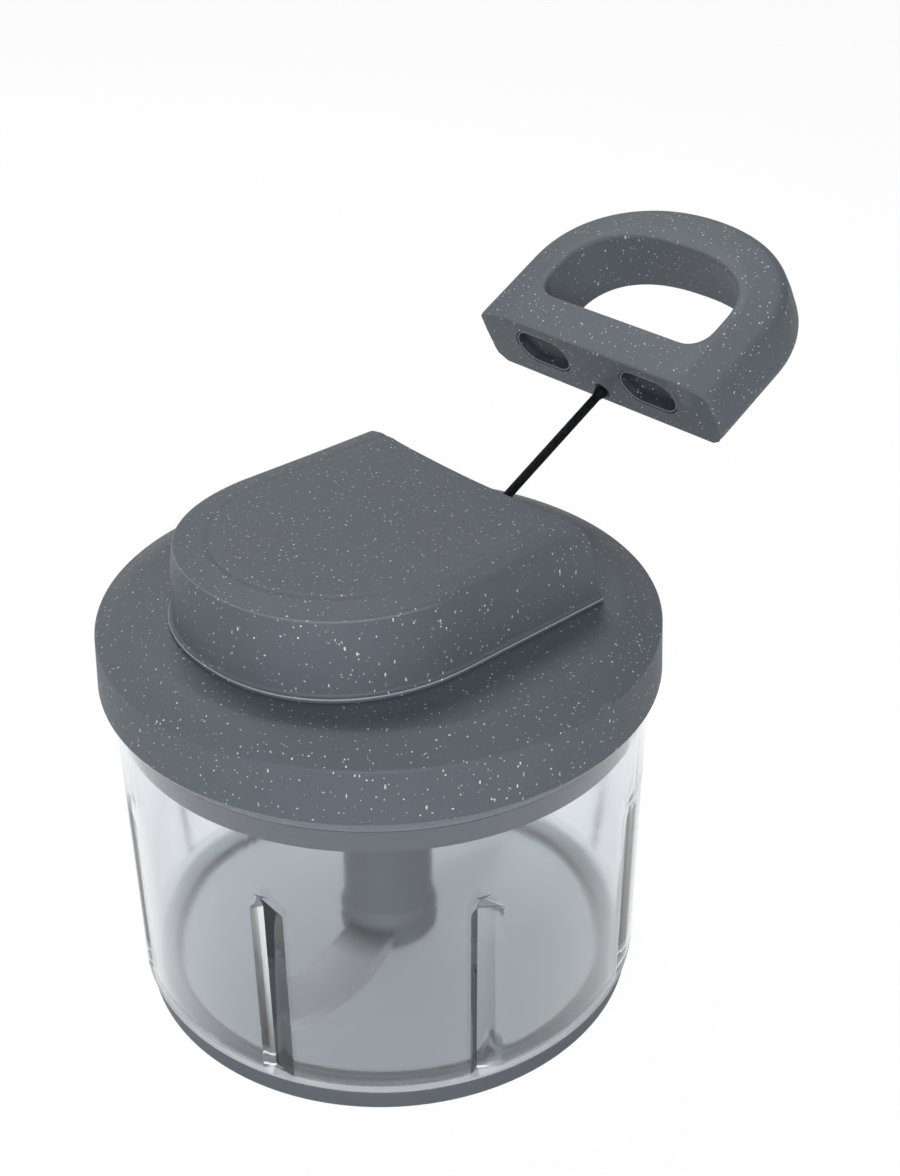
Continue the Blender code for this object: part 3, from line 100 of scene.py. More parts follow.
RIB_RIDGE_SHARE = 0.28
RIB_FOOT = 0.0072
RIB_TOP = 0.0615
RIB_FOOT_RISE = 0.0016
RIB_GABLE = 0.0046
RIB_EDGE_SHARE = 0.04
RIB_APEX_SHARE = 0.02
GABLE_STEPS = 6
PLAIN_STEPS = 14
BOWL_SHARP_ANGLE = 24.0
# Painted shade: a darker grey in the bowl's floor, for the shade beneath the bowl; the same place is also hazier
FLOOR_PAINTED_SHADE = (0.34, 0.37, 0.39, 1)
SHADED_FLOOR_RADIUS = 0.0600
SHADED_FLOOR_TOP = 0.0090
SHADED_FLOOR_FADE = (0.0010, 0.0006)
# Painted highlight: a pale band in the bowl's foot
FOOT_HIGHLIGHT_BAND = (0.0064, 0.0086)
FOOT_HIGHLIGHT_FADE = 0.0004
FOOT_HIGHLIGHT_RADII = (0.0616, 0.0622)
FOOT_HIGHLIGHT_COLOUR = (0.80, 0.83, 0.86, 1)
FOOT_HIGHLIGHT_SHARE = 0.6
INNER_HAZE = 0.07
FLOOR_HAZE = 0.15

# Lid
LID_THICKNESS = 0.0025
SKIRT_WALL = 0.0022
SKIRT_DRAFT = 0.0006
CROWN_FLAT_RADIUS = 0.0565
CROWN_EDGE_RADIUS = 0.0656
CROWN_DROP = 0.0036
CROWN_POWER = 1.6
CROWN_STEPS = 10
LID_HOLE_RADIUS = 0.0150

# Inner cover, its seal and its screws
PLUG_WALL = 0.0022
COVER_UNDERSIDE = 0.0780
COVER_THICKNESS = 0.0020
COLLAR_BORE = 0.0090
COLLAR_WALL = 0.0022
COLLAR_HEIGHT = 0.0040
SEAL_GROOVE = 0.0011
SCREW_RADIUS = 0.0014
SCREW_HEAD_RADIUS = 0.0027
SCREW_HEAD_HEIGHT = 0.0017
SCREW_LENGTH = 0.0090
SCREW_CROSS_REACH = 0.0017
SCREW_CROSS_WIDTH = 0.0005
SCREW_CROSS_DEPTH = 0.0009

# Dome cover
DOME_HALF_WIDTH = 0.0393
DOME_FACE_Y = 0.0345
DOME_CENTRE_Y = -0.0080
DOME_TIP_Y = -0.0493
DOME_POWER = 2.20
DOME_CREASE_POWER = 2.0
DOME_FACE_LEAN = 13.0
DOME_WALL = 0.0022
DOME_CREASE = 0.0086
DOME_LIP = 0.0007
DOME_LIP_HEIGHT = 0.0010
DOME_SHOULDER = 0.0008
DOME_SIDE_SHOULDER = 0.0034
DOME_SIDE_START = -0.0260
DOME_SIDE_END = 0.0180
DOME_LEFT_START = -0.0500
# Painted highlights: the dome's rows that get a pale line, and how strong it is
DOME_LIP_ROWS = (2, 3, 4)
DOME_LIP_GLEAM = 0.9
DOME_SHOULDER_ROWS = (22, 23)
DOME_SHOULDER_GLEAM = 0.22
DOME_SHOULDER_FADE = 4
DOME_DISH = 0.0014
DOME_DISH_HALF = 0.0300
DOME_DISH_START = -0.0100
DOME_EDGE = 0.0007
DOME_EDGE_ANGLE = 42.0
DOME_SIDE_STEPS = 16
DOME_BOW_STEPS = 72
PANEL_COLUMNS = 36

# Cord line
EYE_HEIGHT = 0.0052
PIVOT_INSET = 0.0015
CORD_SLOPE = 28.2
CORD_DIAMETER = 0.0023
CORD_VISIBLE = 0.0475
CORD_START = 0.0009
CORD_OVERLAP = 0.0010
CORD_ENTRY = 0.0020
CORD_SIDES = 24
CORD_RING_SPACING = 0.0010
CORD_SHARP_ANGLE = 60.0
CORD_SWELL = 0.0007
CORD_SWELL_PLACE = 0.0004
CORD_SWELL_REACH = 0.0020
BRAID_PITCH = 0.0026
EYELET_RADIUS = 0.0035
EYELET_THROAT = 0.00175
EYELET_FLANGE = 0.0042
EYELET_FLANGE_THICKNESS = 0.0010
EYELET_MOUTH = 0.0031

# Docking studs and the ovals that take them
STUD_SPACING = 0.0354
STUD_RISE = 0.0015
STUD_PROUD = 0.0017
STUD_SEAT = 0.0010
OVAL_WIDTH = 0.0170
OVAL_HEIGHT = 0.0096
OVAL_DEPTH = 0.0021
OVAL_CLEARANCE = 0.0008
OVAL_GAP = 0.0003
OVAL_GAP_DEPTH = 0.0009
OVAL_RIM = 0.0004
OVAL_RIM_DROP = 0.0002
# Strength of the painted highlight on the ovals' rims
OVAL_RIM_GLEAM = 0.5

# Pull handle
HANDLE_HALF_WIDTH = 0.0390
HANDLE_LENGTH = 0.0523
HANDLE_HEIGHT = 0.0186
HANDLE_STRAIGHT = 0.0230
HANDLE_POWER = 2.12
HANDLE_CORNER = 0.0012
HANDLE_CORD_DROP = 0.0055
HANDLE_RIDGE = 0.0096
HANDLE_RIDGE_ROUND = 0.0005
HANDLE_WALL_TOP = 0.0019
HANDLE_SHOULDER = 0.00045
HANDLE_SHOULDER_Z = 0.00750
HANDLE_SHOULDER_ROUND = 0.0024
HANDLE_FACE_EDGE = 0.0006
HANDLE_FOOT_ROUND = 0.0062
HOLE_HALF_WIDTH = 0.0270
HOLE_START = 0.0117
HOLE_END = 0.0387
HOLE_STRAIGHT = 0.0100
HOLE_POWER = 2.4
HOLE_CORNER = 0.0060
HOLE_FLARE = 0.0015
HOLE_EDGE = 0.0008
KNOT_RADIUS = 0.0023
KNOT_POCKET_DEPTH = 0.0053
HANDLE_MOUTH_RADIUS = 0.0024
HANDLE_MOUTH_DEPTH = 0.0014
HANDLE_SIDE_STEPS = 8
HANDLE_BOW_STEPS = 84
HANDLE_CORNER_STEPS = 6
HANDLE_FLAT_STEPS = 32
INSET_HALVINGS = 24
FOOT_STEPS = 8
SLOPE_INSETS = (0.0032, 0.0056, 0.0078, 0.0090, 0.0096, 0.0102)

# Blade unit
HUB_RADIUS = 0.0112
HUB_FOOT_RADIUS = 0.0124
HUB_FOOT_HEIGHT = 0.0076
HUB_CONE = 0.0025
HUB_SOCKET_RADIUS = 0.0064
HUB_SOCKET_DEPTH = 0.0125
HUB_BOSS_ROOM = 0.0015
BLADE_OVERLAP = 0.0030
BLADE_THICKNESS = 0.0012
BLADE_ROOT_WIDTH = 0.0120
BLADE_REACH = 0.0545
BLADE_HALF_WIDTH = 0.0082
BLADE_SWEEP = 0.0100
BLADE_BEVEL = 0.0026
BLADE_STEPS = 40
BLADE_SHARP_ANGLE = 8.0
# Painted shade and reflection of the hub: dark on the blades' root, fading out between two radii
BLADE_HUB_SHADE = (0.10, 0.11, 0.12, 1)
BLADE_HUB_SHADE_RADII = (0.012, 0.025)
LOWER_BLADE_ANGLE = -62.0
UPPER_BLADE_ANGLE = 118.0

# Set: a nearly white floor, a pale world and soft lamps as (name, place, aim, size, watts)
FLOOR_SIZE = 4.0
FLOOR_COLOUR = (0.80, 0.80, 0.80)
FLOOR_GLOW = 1.10
FLOOR_GLOW_SHARE = 0.85
WORLD_LIGHT = 0.05
LAMPS = (
    ("key", (-0.55, 0.25, 1.05), (0, 0, 0.10), 0.45, 4.3),
    ("camera_side", (0.75, -0.80, 0.60), (0, 0, 0.10), 0.80, 9.0),
    ("low_front", (0.10, -1.30, 0.16), (0, 0, 0.08), 0.90, 1.5),
    ("low_right", (1.25, -0.15, 0.35), (0, 0, 0.10), 0.80, 1.6),
    ("low_left", (-1.20, -0.35, 0.40), (0, 0, 0.08), 0.80, 1.8),
)

# Heights and places worked out from the frame's own nodes
RING_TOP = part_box("base_ring")[1].z
RING_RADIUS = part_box("base_ring")[1].x
RING_INNER = RING_RADIUS - RING_WIDTH
BOWL_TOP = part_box("bowl")[1].z
FLOOR_TOP = BOWL_FLOOR_RISE + BOWL_FLOOR
LID_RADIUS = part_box("lid_disc")[1].x
LID_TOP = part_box("lid_disc")[1].z
SKIRT_BOTTOM = BEAD_TOP + CLEARANCE
PLUG_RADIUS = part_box("inner_cover")[1].x
PLUG_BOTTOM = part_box("inner_cover")[0].z
PLUG_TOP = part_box("inner_cover")[1].z
DOME_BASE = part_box("dome_cover")[0].z
DOME_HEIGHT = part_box("dome_cover")[1].z - DOME_BASE
EYE_Z = LID_TOP + EYE_HEIGHT
EYE_Y = DOME_FACE_Y - (EYE_Z - DOME_BASE) * tan(radians(DOME_FACE_LEAN))
FACE_DISTANCE = PIVOT_INSET / cos(radians(CORD_SLOPE)) + CORD_VISIBLE


# Mesh helpers

def rounded(points, closed=True):
    """A section's points, with an arc at each point that gives a third value, its radius."""
    count = len(points)
    rounded_points = []
    for i, point in enumerate(points):
        corner = Vector(point[:2])
        ends = not closed and i in (0, count - 1)
        if len(point) < 3 or ends:
            rounded_points.append(tuple(corner))
            continue
        before = Vector(points[i - 1][:2]) - corner
        after = Vector(points[(i + 1) % count][:2]) - corner
        half = before.angle(after) / 2
        reach = min(point[2] / tan(half), before.length * 0.49, after.length * 0.49)
        radius = reach * tan(half)
        before.normalize()
        after.normalize()
        centre = corner + (before + after).normalized() * radius / sin(half)
        first = (corner + before * reach - centre).normalized()
        last = (corner + after * reach - centre).normalized()
        for step in range(FILLET_STEPS + 1):
            rounded_points.append(tuple(centre + first.slerp(last, step / FILLET_STEPS) * radius))
    return rounded_points


def skin_rings(shape, rings, loop_shut=False, ring_shut=True):
    """Faces between neighbouring rings of vertices."""
    pairs = list(zip(rings, rings[1:]))
    if loop_shut:
        pairs.append((rings[-1], rings[0]))
    for low, high in pairs:
        last = len(low) if ring_shut else len(low) - 1
        for i in range(last):
            j = (i + 1) % len(low)
            corners = list(dict.fromkeys([low[i], low[j], high[j], high[i]]))
            if len(corners) > 2:
                shape.faces.new(corners)


def add_ring(shape, points):
    return [shape.verts.new(point) for point in points]


def quarter_round(first=0, steps=FILLET_STEPS):
    """Points along a quarter round as (1 - sin, 1 - cos): from (1, 0) to (0, 1)."""
    turns = [pi / 2 * i / steps for i in range(first, steps + 1)]
    return [(1 - sin(turn), 1 - cos(turn)) for turn in turns]


def circle(radius, steps):
    """Points round a circle, as (across, up)."""
    return [(radius * cos(2 * pi * i / steps), radius * sin(2 * pi * i / steps)) for i in range(steps)]


def turned_shape(profile, steps=TURN_STEPS, matrix=Matrix()):
    """Turns a section of (radius, height) points about Z. One that starts and ends on the axis is solid."""
    shape = bmesh.new()
    rings = []
    for radius, height in profile:
        if radius < ON_AXIS:
            rings.append([shape.verts.new(matrix @ Vector((0, 0, height)))] * steps)
            continue
        rings.append(add_ring(shape, [matrix @ Vector((x, y, height)) for x, y in circle(radius, steps)]))
    skin_rings(shape, rings, loop_shut=profile[0][0] >= ON_AXIS)
    return shape


def stack_shape(loops):
    """Skins a stack of closed loops and caps both ends."""
    shape = bmesh.new()
    rings = [add_ring(shape, loop) for loop in loops]
    skin_rings(shape, rings)
    shape.faces.new(rings[0])
    shape.faces.new(rings[-1])
    return shape


def mesh_from(name, shape, sharp=SHARP_ANGLE):
    bmesh.ops.recalc_face_normals(shape, faces=shape.faces)
    mesh = bpy.data.meshes.new(name)
    shape.to_mesh(mesh)
    shape.free()
    mesh.shade_smooth()
    mesh.set_sharp_from_angle(angle=radians(sharp))
    return mesh


def new_object(name, data):
    made = bpy.data.objects.new(name, data)
    bpy.context.scene.collection.objects.link(made)
    return made


def add_piece(name, mesh, finish, body, stands_for=()):
    """Puts a mesh into the scene with its finish, and makes it ride on its body."""
    piece = new_object(name, mesh)
    mesh.materials.clear()
    mesh.materials.append(finish["material"])
    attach(piece, body)
    if stands_for:
        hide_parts(*stands_for)
    return piece


def shape_piece(name, shape, finish, body, stands_for, sharp=SHARP_ANGLE):
    return add_piece(name, mesh_from(name, shape, sharp), finish, body, stands_for)


def turned_piece(name, profile, finish, body, stands_for=(), steps=TURN_STEPS, matrix=Matrix()):
    shape = turned_shape(rounded(profile, closed=profile[0][0] > 0), steps, matrix)
    settle(shape_piece(name, shape, finish, body, stands_for))


def cut(piece, shape, name):
    """Cuts a closed shape out of a piece for good."""
    tool = new_object(name, mesh_from(name, shape))
    change = piece.modifiers.new(name, "BOOLEAN")
    change.operation = "DIFFERENCE"
    change.object = tool
    change.solver = "EXACT"
    bake_modifiers(piece)
    bpy.data.objects.remove(tool)


def bake_modifiers(piece):
    """Replaces a piece's mesh with what its modifiers make of it."""
    depsgraph = bpy.context.evaluated_depsgraph_get()
    made = bpy.data.meshes.new_from_object(piece.evaluated_get(depsgraph))
    made.name = piece.name
    piece.modifiers.clear()
    piece.data = made


def soften_edges(piece, width, angle):
    """Rounds a piece's sharp edges."""
    change = piece.modifiers.new("soft_edges", "BEVEL")
    change.width = width
    change.segments = 3
    change.limit_method = "ANGLE"
    change.angle_limit = radians(angle)
    bake_modifiers(piece)


def settle(piece):
    """Smooth shading with sharp creases, and even shading on the large faces."""
    piece.data.shade_smooth()
    piece.data.set_sharp_from_angle(angle=radians(SHARP_ANGLE))
    change = piece.modifiers.new("even_shading", "WEIGHTED_NORMAL")
    change.keep_sharp = True
    bake_modifiers(piece)


# Outlines

def bow_points(half_width, centre, tip, power, steps):
    """The bow of a D in plan, from its right end to its left end."""
    bow = []
    for i in range(steps + 1):
        turn = pi * i / steps
        across = abs(cos(turn)) ** (2 / power) * (1 if 2 * i < steps else -1)
        bow.append((half_width * across, centre + (tip - centre) * abs(sin(turn)) ** (2 / power)))
    return bow


def d_outline(half_width, face, centre, tip, power, side_steps, bow_steps):
    """A D in plan as an open line, from its right corner round the bow to its left corner."""
    right = [(half_width, face + (centre - face) * i / side_steps) for i in range(side_steps)]
    left = [(-x, y) for x, y in reversed(right)]
    return right + bow_points(half_width, centre, tip, power, bow_steps) + left


def stadium(width, height, steps=12):
    """An oval with straight sides, as points across and up."""
    radius = height / 2
    straight = width / 2 - radius
    points = []
    for side in (1, -1):
        for i in range(steps + 1):
            turn = side * pi / 2 - pi * i / steps
            points.append((side * straight + radius * cos(turn), radius * sin(turn)))
    return points


def oval_stack(width, height, levels, centre, matrix):
    """An oval bar along +Y: each level is a distance and how far the oval grows there."""
    loops = []
    for distance, grow in levels:
        outline = stadium(width + 2 * grow, height + 2 * grow)
        loops.append([matrix @ Vector((centre[0] + x, distance, centre[1] + z)) for x, z in outline])
    return loops


def eye_matrix():
    """The frame of the dome's flat face: its origin in the eye, +Y straight out of the face."""
    return Matrix.Translation((0, EYE_Y, EYE_Z)) @ Matrix.Rotation(radians(DOME_FACE_LEAN), 4, "X")


def cord_matrix():
    """The frame of the cord: its origin is the pivot in the eyelet, and +Y runs along the cord."""
    pivot = eye_matrix() @ Vector((0, -PIVOT_INSET, 0))
    return Matrix.Translation(pivot) @ Matrix.Rotation(radians(CORD_SLOPE), 4, "X")


ALONG_Y = Matrix.Rotation(-pi / 2, 4, "X")


# Materials

class Nodes:
    """Shorthand for building one node tree."""

    def __init__(self, tree):
        self.tree = tree

    def add(self, kind, **values):
        node = self.tree.nodes.new(kind)
        for name, value in values.items():
            if hasattr(node, name) and name not in node.inputs:
                setattr(node, name, value)
            else:
                node.inputs[name].default_value = value
        return node

    def link(self, source, target):
        self.tree.links.new(source, target)

    def place(self):
        return self.add("ShaderNodeTexCoord").outputs["Object"]

    def attribute(self, name):
        return self.add("ShaderNodeAttribute", attribute_name=name).outputs["Fac"]

    def math(self, operation, *values):
        node = self.add("ShaderNodeMath", operation=operation)
        for socket, value in zip(node.inputs, values):
            self.feed(socket, value)
        return node.outputs[0]

    def times(self, first, second):
        return self.math("MULTIPLY", first, second)

    def feed(self, socket, value):
        if hasattr(value, "is_output"):
            self.link(value, socket)
        else:
            socket.default_value = value

    def mix(self, factor, first, second):
        node = self.add("ShaderNodeMix", data_type="RGBA")
        for socket, value in zip((node.inputs[0], *node.inputs[6:8]), (factor, first, second)):
            self.feed(socket, value)
        return node.outputs[2]

    def mix_shaders(self, factor, first, second):
        node = self.add("ShaderNodeMixShader")
        for socket, value in zip(node.inputs, (factor, first.outputs[0], second.outputs[0])):
            self.link(value, socket)
        return node

    def ramp(self, value, low, high, low_out=0.0, high_out=1.0):
        """Eases from one value to another while the first goes from low to high."""
        node = self.add("ShaderNodeMapRange", interpolation_type="SMOOTHSTEP")
        for socket, number in zip(node.inputs, (value, low, high, low_out, high_out)):
            self.feed(socket, number)
        return node.outputs[0]


def new_group(name, inputs, outputs):
    """An empty shader group with named inputs and outputs."""
    group = bpy.data.node_groups.new(name, "ShaderNodeTree")
    for label, kind, value in inputs:
        socket = group.interface.new_socket(label, in_out="INPUT", socket_type=kind)
        socket.default_value = value
    for label, kind in outputs:
        group.interface.new_socket(label, in_out="OUTPUT", socket_type=kind)
    nodes = Nodes(group)
    return nodes, nodes.add("NodeGroupInput"), nodes.add("NodeGroupOutput")


def fleck_layer(nodes, warp, size, stretch, spacing, seed):
    """One scatter of flecks: a mask that is bright inside each fleck, with its own strength."""
    turn = nodes.add(
        "ShaderNodeMapping",
        Rotation=(seed, seed * 2, seed * 3),
        Location=(seed, seed, seed),
        Scale=(1 / spacing, 1 / spacing, stretch / spacing),
    )
    nodes.link(nodes.place(), turn.inputs["Vector"])
    moved = nodes.add("ShaderNodeVectorMath", operation="ADD")
    nodes.link(turn.outputs[0], moved.inputs[0])
    nodes.link(warp, moved.inputs[1])
    cells = nodes.add("ShaderNodeTexVoronoi", Scale=1.0)
    nodes.link(moved.outputs[0], cells.inputs["Vector"])
    split = nodes.add("ShaderNodeSeparateColor")
    nodes.link(cells.outputs["Color"], split.inputs[0])
    share = nodes.times(nodes.math("POWER", split.outputs[0], 2.0), 0.75)
    reach = nodes.math("DIVIDE", nodes.times(nodes.math("ADD", share, 0.25), size), spacing)
    inside = nodes.math("LESS_THAN", cells.outputs["Distance"], reach)
    strength = nodes.math("ADD", nodes.times(split.outputs[1], 0.65), 0.35)
    return nodes.times(inside, strength)


def pale_flecks_group():
    """Fine pale flecks, some round and some drawn out, scattered through a moulding."""
    nodes, given, result = new_group(
        "pale_flecks",
        [("Size", "NodeSocketFloat", 0.00023), ("Warp", "NodeSocketFloat", 0.30)],
        [("Mask", "NodeSocketFloat")],
    )
    noise = nodes.add("ShaderNodeTexNoise", Scale=2600.0, Detail=1.0)
    nodes.link(nodes.place(), noise.inputs["Vector"])
    centred = nodes.add("ShaderNodeVectorMath", operation="SUBTRACT")
    nodes.link(noise.outputs["Color"], centred.inputs[0])
    centred.inputs[1].default_value = (0.5, 0.5, 0.5)
    warp = nodes.add("ShaderNodeVectorMath", operation="SCALE")
    nodes.link(centred.outputs[0], warp.inputs[0])
    nodes.link(given.outputs["Warp"], warp.inputs["Scale"])
    total = None
    for stretch, spacing, seed in ((1.0, 0.00124, 0.3), (0.4, 0.0014, 1.1), (1.0, 0.0017, 2.3)):
        layer = fleck_layer(nodes, warp.outputs[0], given.outputs["Size"], stretch, spacing, seed)
        total = layer if total is None else nodes.math("MAXIMUM", total, layer)
    nodes.link(total, result.inputs["Mask"])
    return nodes.tree


def fine_grain_group():
    """A moulded surface's fine grain as a height, with slow patches for its tone and gloss, and a mask on its
    sharp edges for wear and painted sheen.
    """
    nodes, given, result = new_group(
        "fine_grain",
        [("Grain Scale", "NodeSocketFloat", 2600.0), ("Patch Scale", "NodeSocketFloat", 45.0)],
        [("Height", "NodeSocketFloat"), ("Patch", "NodeSocketFloat"), ("Wear And Sheen Edge", "NodeSocketFloat")],
    )
    place = nodes.place()
    grain = nodes.add("ShaderNodeTexNoise", Detail=3.0, Roughness=0.6)
    patch = nodes.add("ShaderNodeTexNoise", Detail=4.0, Roughness=0.55)
    for texture, label in ((grain, "Grain Scale"), (patch, "Patch Scale")):
        nodes.link(place, texture.inputs["Vector"])
        nodes.link(given.outputs[label], texture.inputs["Scale"])
    nodes.link(grain.outputs[0], result.inputs["Height"])
    nodes.link(patch.outputs[0], result.inputs["Patch"])
    pointed = nodes.add("ShaderNodeNewGeometry").outputs["Pointiness"]
    wear_and_sheen = nodes.ramp(pointed, 0.52, 0.60)
    nodes.link(nodes.times(wear_and_sheen, patch.outputs[0]), result.inputs["Wear And Sheen Edge"])
    return nodes.tree


def set_inputs(node, values):
    """Sets a node's inputs by their names, with _ for a blank."""
    for name, value in values.items():
        node.inputs[name.replace("_", " ")].default_value = value
    return node


def new_finish(slot, **values):
    """A material named after its slot, with its Principled shader at hand."""
    made = bpy.data.materials.new(slot)
    made.use_nodes = True
    shader = set_inputs(made.node_tree.nodes["Principled BSDF"], values)
    return {"material": made, "slot": slot}, Nodes(made.node_tree), shader


def add_group(nodes, group, **values):
    node = nodes.add("ShaderNodeGroup")
    node.node_tree = group
    return set_inputs(node, values)


def bump_from(nodes, shader, height, distance):
    bump = nodes.add("ShaderNodeBump", Distance=distance, Strength=1.0)
    nodes.link(height, bump.inputs["Height"])
    nodes.link(bump.outputs[0], shader.inputs["Normal"])


def from_axis(nodes):
    """How far a point lies from the Z axis, and its height."""
    split = nodes.add("ShaderNodeSeparateXYZ")
    nodes.link(nodes.place(), split.inputs[0])
    squares = [nodes.math("POWER", nodes.math("ABSOLUTE", split.outputs[axis]), 2.0) for axis in (0, 1)]
    return nodes.math("SQRT", nodes.math("ADD", *squares)), split.outputs[2]


def moulding(slot, groups, scales, low, high, gloss, bump, **values):
    """A moulded finish: tone and gloss change slowly between two values, over a fine grain."""
    finish, nodes, shader = new_finish(slot, **values)
    grain = add_group(nodes, groups["grain"], Grain_Scale=scales[0], Patch_Scale=scales[1])
    tone = nodes.mix(nodes.ramp(grain.outputs["Patch"], 0.25, 0.75), low, high)
    nodes.link(tone, shader.inputs["Base Color"])
    nodes.link(nodes.ramp(grain.outputs["Patch"], 0.2, 0.8, *gloss), shader.inputs["Roughness"])
    bump_from(nodes, shader, grain.outputs["Height"], bump)
    return finish, nodes, shader, tone, grain.outputs["Wear And Sheen Edge"]


def slate_plastic(groups):
    """Matt blue-grey moulding with pale flecks, painted highlights on marked edges, painted shade in the ovals'
    floors and pale sharp edges that are partly wear and partly painted sheen.
    """
    low, high, gloss = (0.108, 0.128, 0.149, 1), (0.120, 0.141, 0.163, 1), (0.50, 0.60)
    made = moulding("slate_plastic", groups, (2400.0, 38.0), low, high, gloss, 0.00003, Specular_IOR_Level=0.35)
    finish, nodes, shader, tone, wear_and_sheen = made
    # Pale sharp edges: partly wear, partly painted sheen
    tone = nodes.mix(nodes.times(wear_and_sheen, 0.35), tone, (0.30, 0.33, 0.35, 1))
    # Painted highlights: pale lines on the dome's foot lip and front shoulder and on the ovals' rims
    tone = nodes.mix(nodes.attribute("painted_edge_highlight"), tone, (0.42, 0.46, 0.49, 1))
    # Painted shade in the ovals' floors
    tone = nodes.mix(nodes.attribute("painted_recess_shade"), tone, (0.040, 0.048, 0.056, 1))
    flecks = add_group(nodes, groups["flecks"])
    nodes.link(nodes.mix(flecks.outputs["Mask"], tone, (0.90, 0.93, 0.95, 1)), shader.inputs["Base Color"])
    return finish


def shaded_inner_slate(groups):
    """The finish of the grey pieces inside the bowl and under the lid: the same moulding painted darker as
    painted shade, with few, darker flecks.
    """
    low, high, gloss = (0.050, 0.060, 0.070, 1), (0.056, 0.067, 0.078, 1), (0.42, 0.52)
    finish, nodes, shader, tone, _ = moulding("slate_plastic", groups, (2000.0, 60.0), low, high, gloss, 0.00002)
    finish["material"].name = "painted_shade_slate"
    flecks = add_group(nodes, groups["flecks"], Size=0.00014)
    nodes.link(nodes.mix(flecks.outputs["Mask"], tone, (0.30, 0.33, 0.35, 1)), shader.inputs["Base Color"])
    return finish


def grey_rubber(groups):
    """Matt soft moulding for the base ring, the seal and the docking studs."""
    low, high = (0.096, 0.113, 0.131, 1), (0.112, 0.131, 0.150, 1)
    gloss, bump = (0.66, 0.80), 0.00004
    return moulding("grey_rubber", groups, (3200.0, 70.0), low, high, gloss, bump, Sheen_Weight=0.15)[0]


def clear_plastic(groups):
    """Clear moulding with a faint cool tint and hazy inside, with painted shade as a darker grey in its floor
    and on two ribs that face the camera, and a painted highlight as a pale band in its foot.
    """
    finish, nodes, shader = new_finish("clear_plastic", Transmission_Weight=1.0, IOR=1.49)
    patch = add_group(nodes, groups["grain"], Grain_Scale=900.0, Patch_Scale=30.0).outputs["Patch"]
    radius, height = from_axis(nodes)
    limits = (radius, SHADED_FLOOR_RADIUS), (height, SHADED_FLOOR_TOP)
    inside = [nodes.ramp(way, end - fade, end, 1.0, 0.0) for (way, end), fade in zip(limits, SHADED_FLOOR_FADE)]
    floor = nodes.times(*inside)
    tone = nodes.mix(nodes.ramp(patch, 0.3, 0.7), (0.86, 0.885, 0.915, 1), (0.88, 0.90, 0.93, 1))
    # Painted shade on the camera-facing ribs
    tone = nodes.mix(nodes.attribute("painted_rib_shade"), tone, RIB_PAINTED_SHADE)
    # Painted shade: the floor darkened to a grey
    nodes.link(nodes.mix(floor, tone, FLOOR_PAINTED_SHADE), shader.inputs["Base Color"])
    hazes = (nodes.attribute("inside"), INNER_HAZE), (floor, FLOOR_HAZE)
    haze = nodes.math("ADD", *(nodes.times(*pair) for pair in hazes))
    nodes.link(nodes.math("ADD", nodes.ramp(patch, 0.3, 0.7, 0.015, 0.035), haze), shader.inputs["Roughness"])
    bump_from(nodes, shader, patch, 0.00002)
    # Painted highlight: a pale Diffuse mixed in on a band in the bowl's foot
    low, high = FOOT_HIGHLIGHT_BAND
    above = nodes.ramp(height, low, low + FOOT_HIGHLIGHT_FADE)
    below = nodes.ramp(height, high - FOOT_HIGHLIGHT_FADE, high, 1.0, 0.0)
    band = nodes.times(nodes.ramp(radius, *FOOT_HIGHLIGHT_RADII), nodes.times(above, below))
    pale = nodes.add("ShaderNodeBsdfDiffuse", Color=FOOT_HIGHLIGHT_COLOUR)
    footed = nodes.mix_shaders(nodes.times(band, FOOT_HIGHLIGHT_SHARE), shader, pale)
    through = nodes.add("ShaderNodeBsdfTransparent", Color=(0.93, 0.95, 0.97, 1))
    shadow = nodes.add("ShaderNodeLightPath").outputs["Is Shadow Ray"]
    surface = nodes.mix_shaders(shadow, footed, through)
    nodes.link(surface.outputs[0], nodes.tree.nodes["Material Output"].inputs["Surface"])
    return finish


def metal(slot, groups, low, high, roughness, stretch, root=None):
    """Steel with fine drawn lines along its length and, if two radii are given, painted dark inside them, as
    painted shade and reflection of the hub.
    """
    finish, nodes, shader = new_finish(slot, Metallic=1.0)
    tone = nodes.mix(add_group(nodes, groups["grain"], Patch_Scale=90.0).outputs["Patch"], low, high)
    # Painted shade and reflection of the hub on the blades' root
    if root:
        tone = nodes.mix(nodes.ramp(from_axis(nodes)[0], *root), BLADE_HUB_SHADE, tone)
    nodes.link(tone, shader.inputs["Base Color"])
    drawn = nodes.add("ShaderNodeMapping", Scale=stretch)
    nodes.link(nodes.place(), drawn.inputs["Vector"])
    lines = nodes.add("ShaderNodeTexNoise", Scale=1.0, Detail=2.0)
    nodes.link(drawn.outputs[0], lines.inputs["Vector"])
    nodes.link(nodes.ramp(lines.outputs[0], 0.2, 0.8, roughness, roughness + 0.18), shader.inputs["Roughness"])
    bump_from(nodes, shader, lines.outputs[0], 0.00001)
    return finish


def white_plastic(groups):
    """Natural white plastic of the mechanism, a little greasy in patches."""
    low, high = (0.66, 0.65, 0.61, 1), (0.74, 0.74, 0.71, 1)
    return moulding("white_plastic", groups, (1800.0, 120.0), low, high, (0.28, 0.48), 0.00002)[0]


def stranded(nodes, shader, strand, patch, low, high, gloss):
    """Colours a cord by its strands, and raises them."""
    nodes.link(nodes.mix(strand, low, high), shader.inputs["Base Color"])
    nodes.link(nodes.ramp(patch, 0.2, 0.8, *gloss), shader.inputs["Roughness"])
    bump_from(nodes, shader, strand, 0.00008)


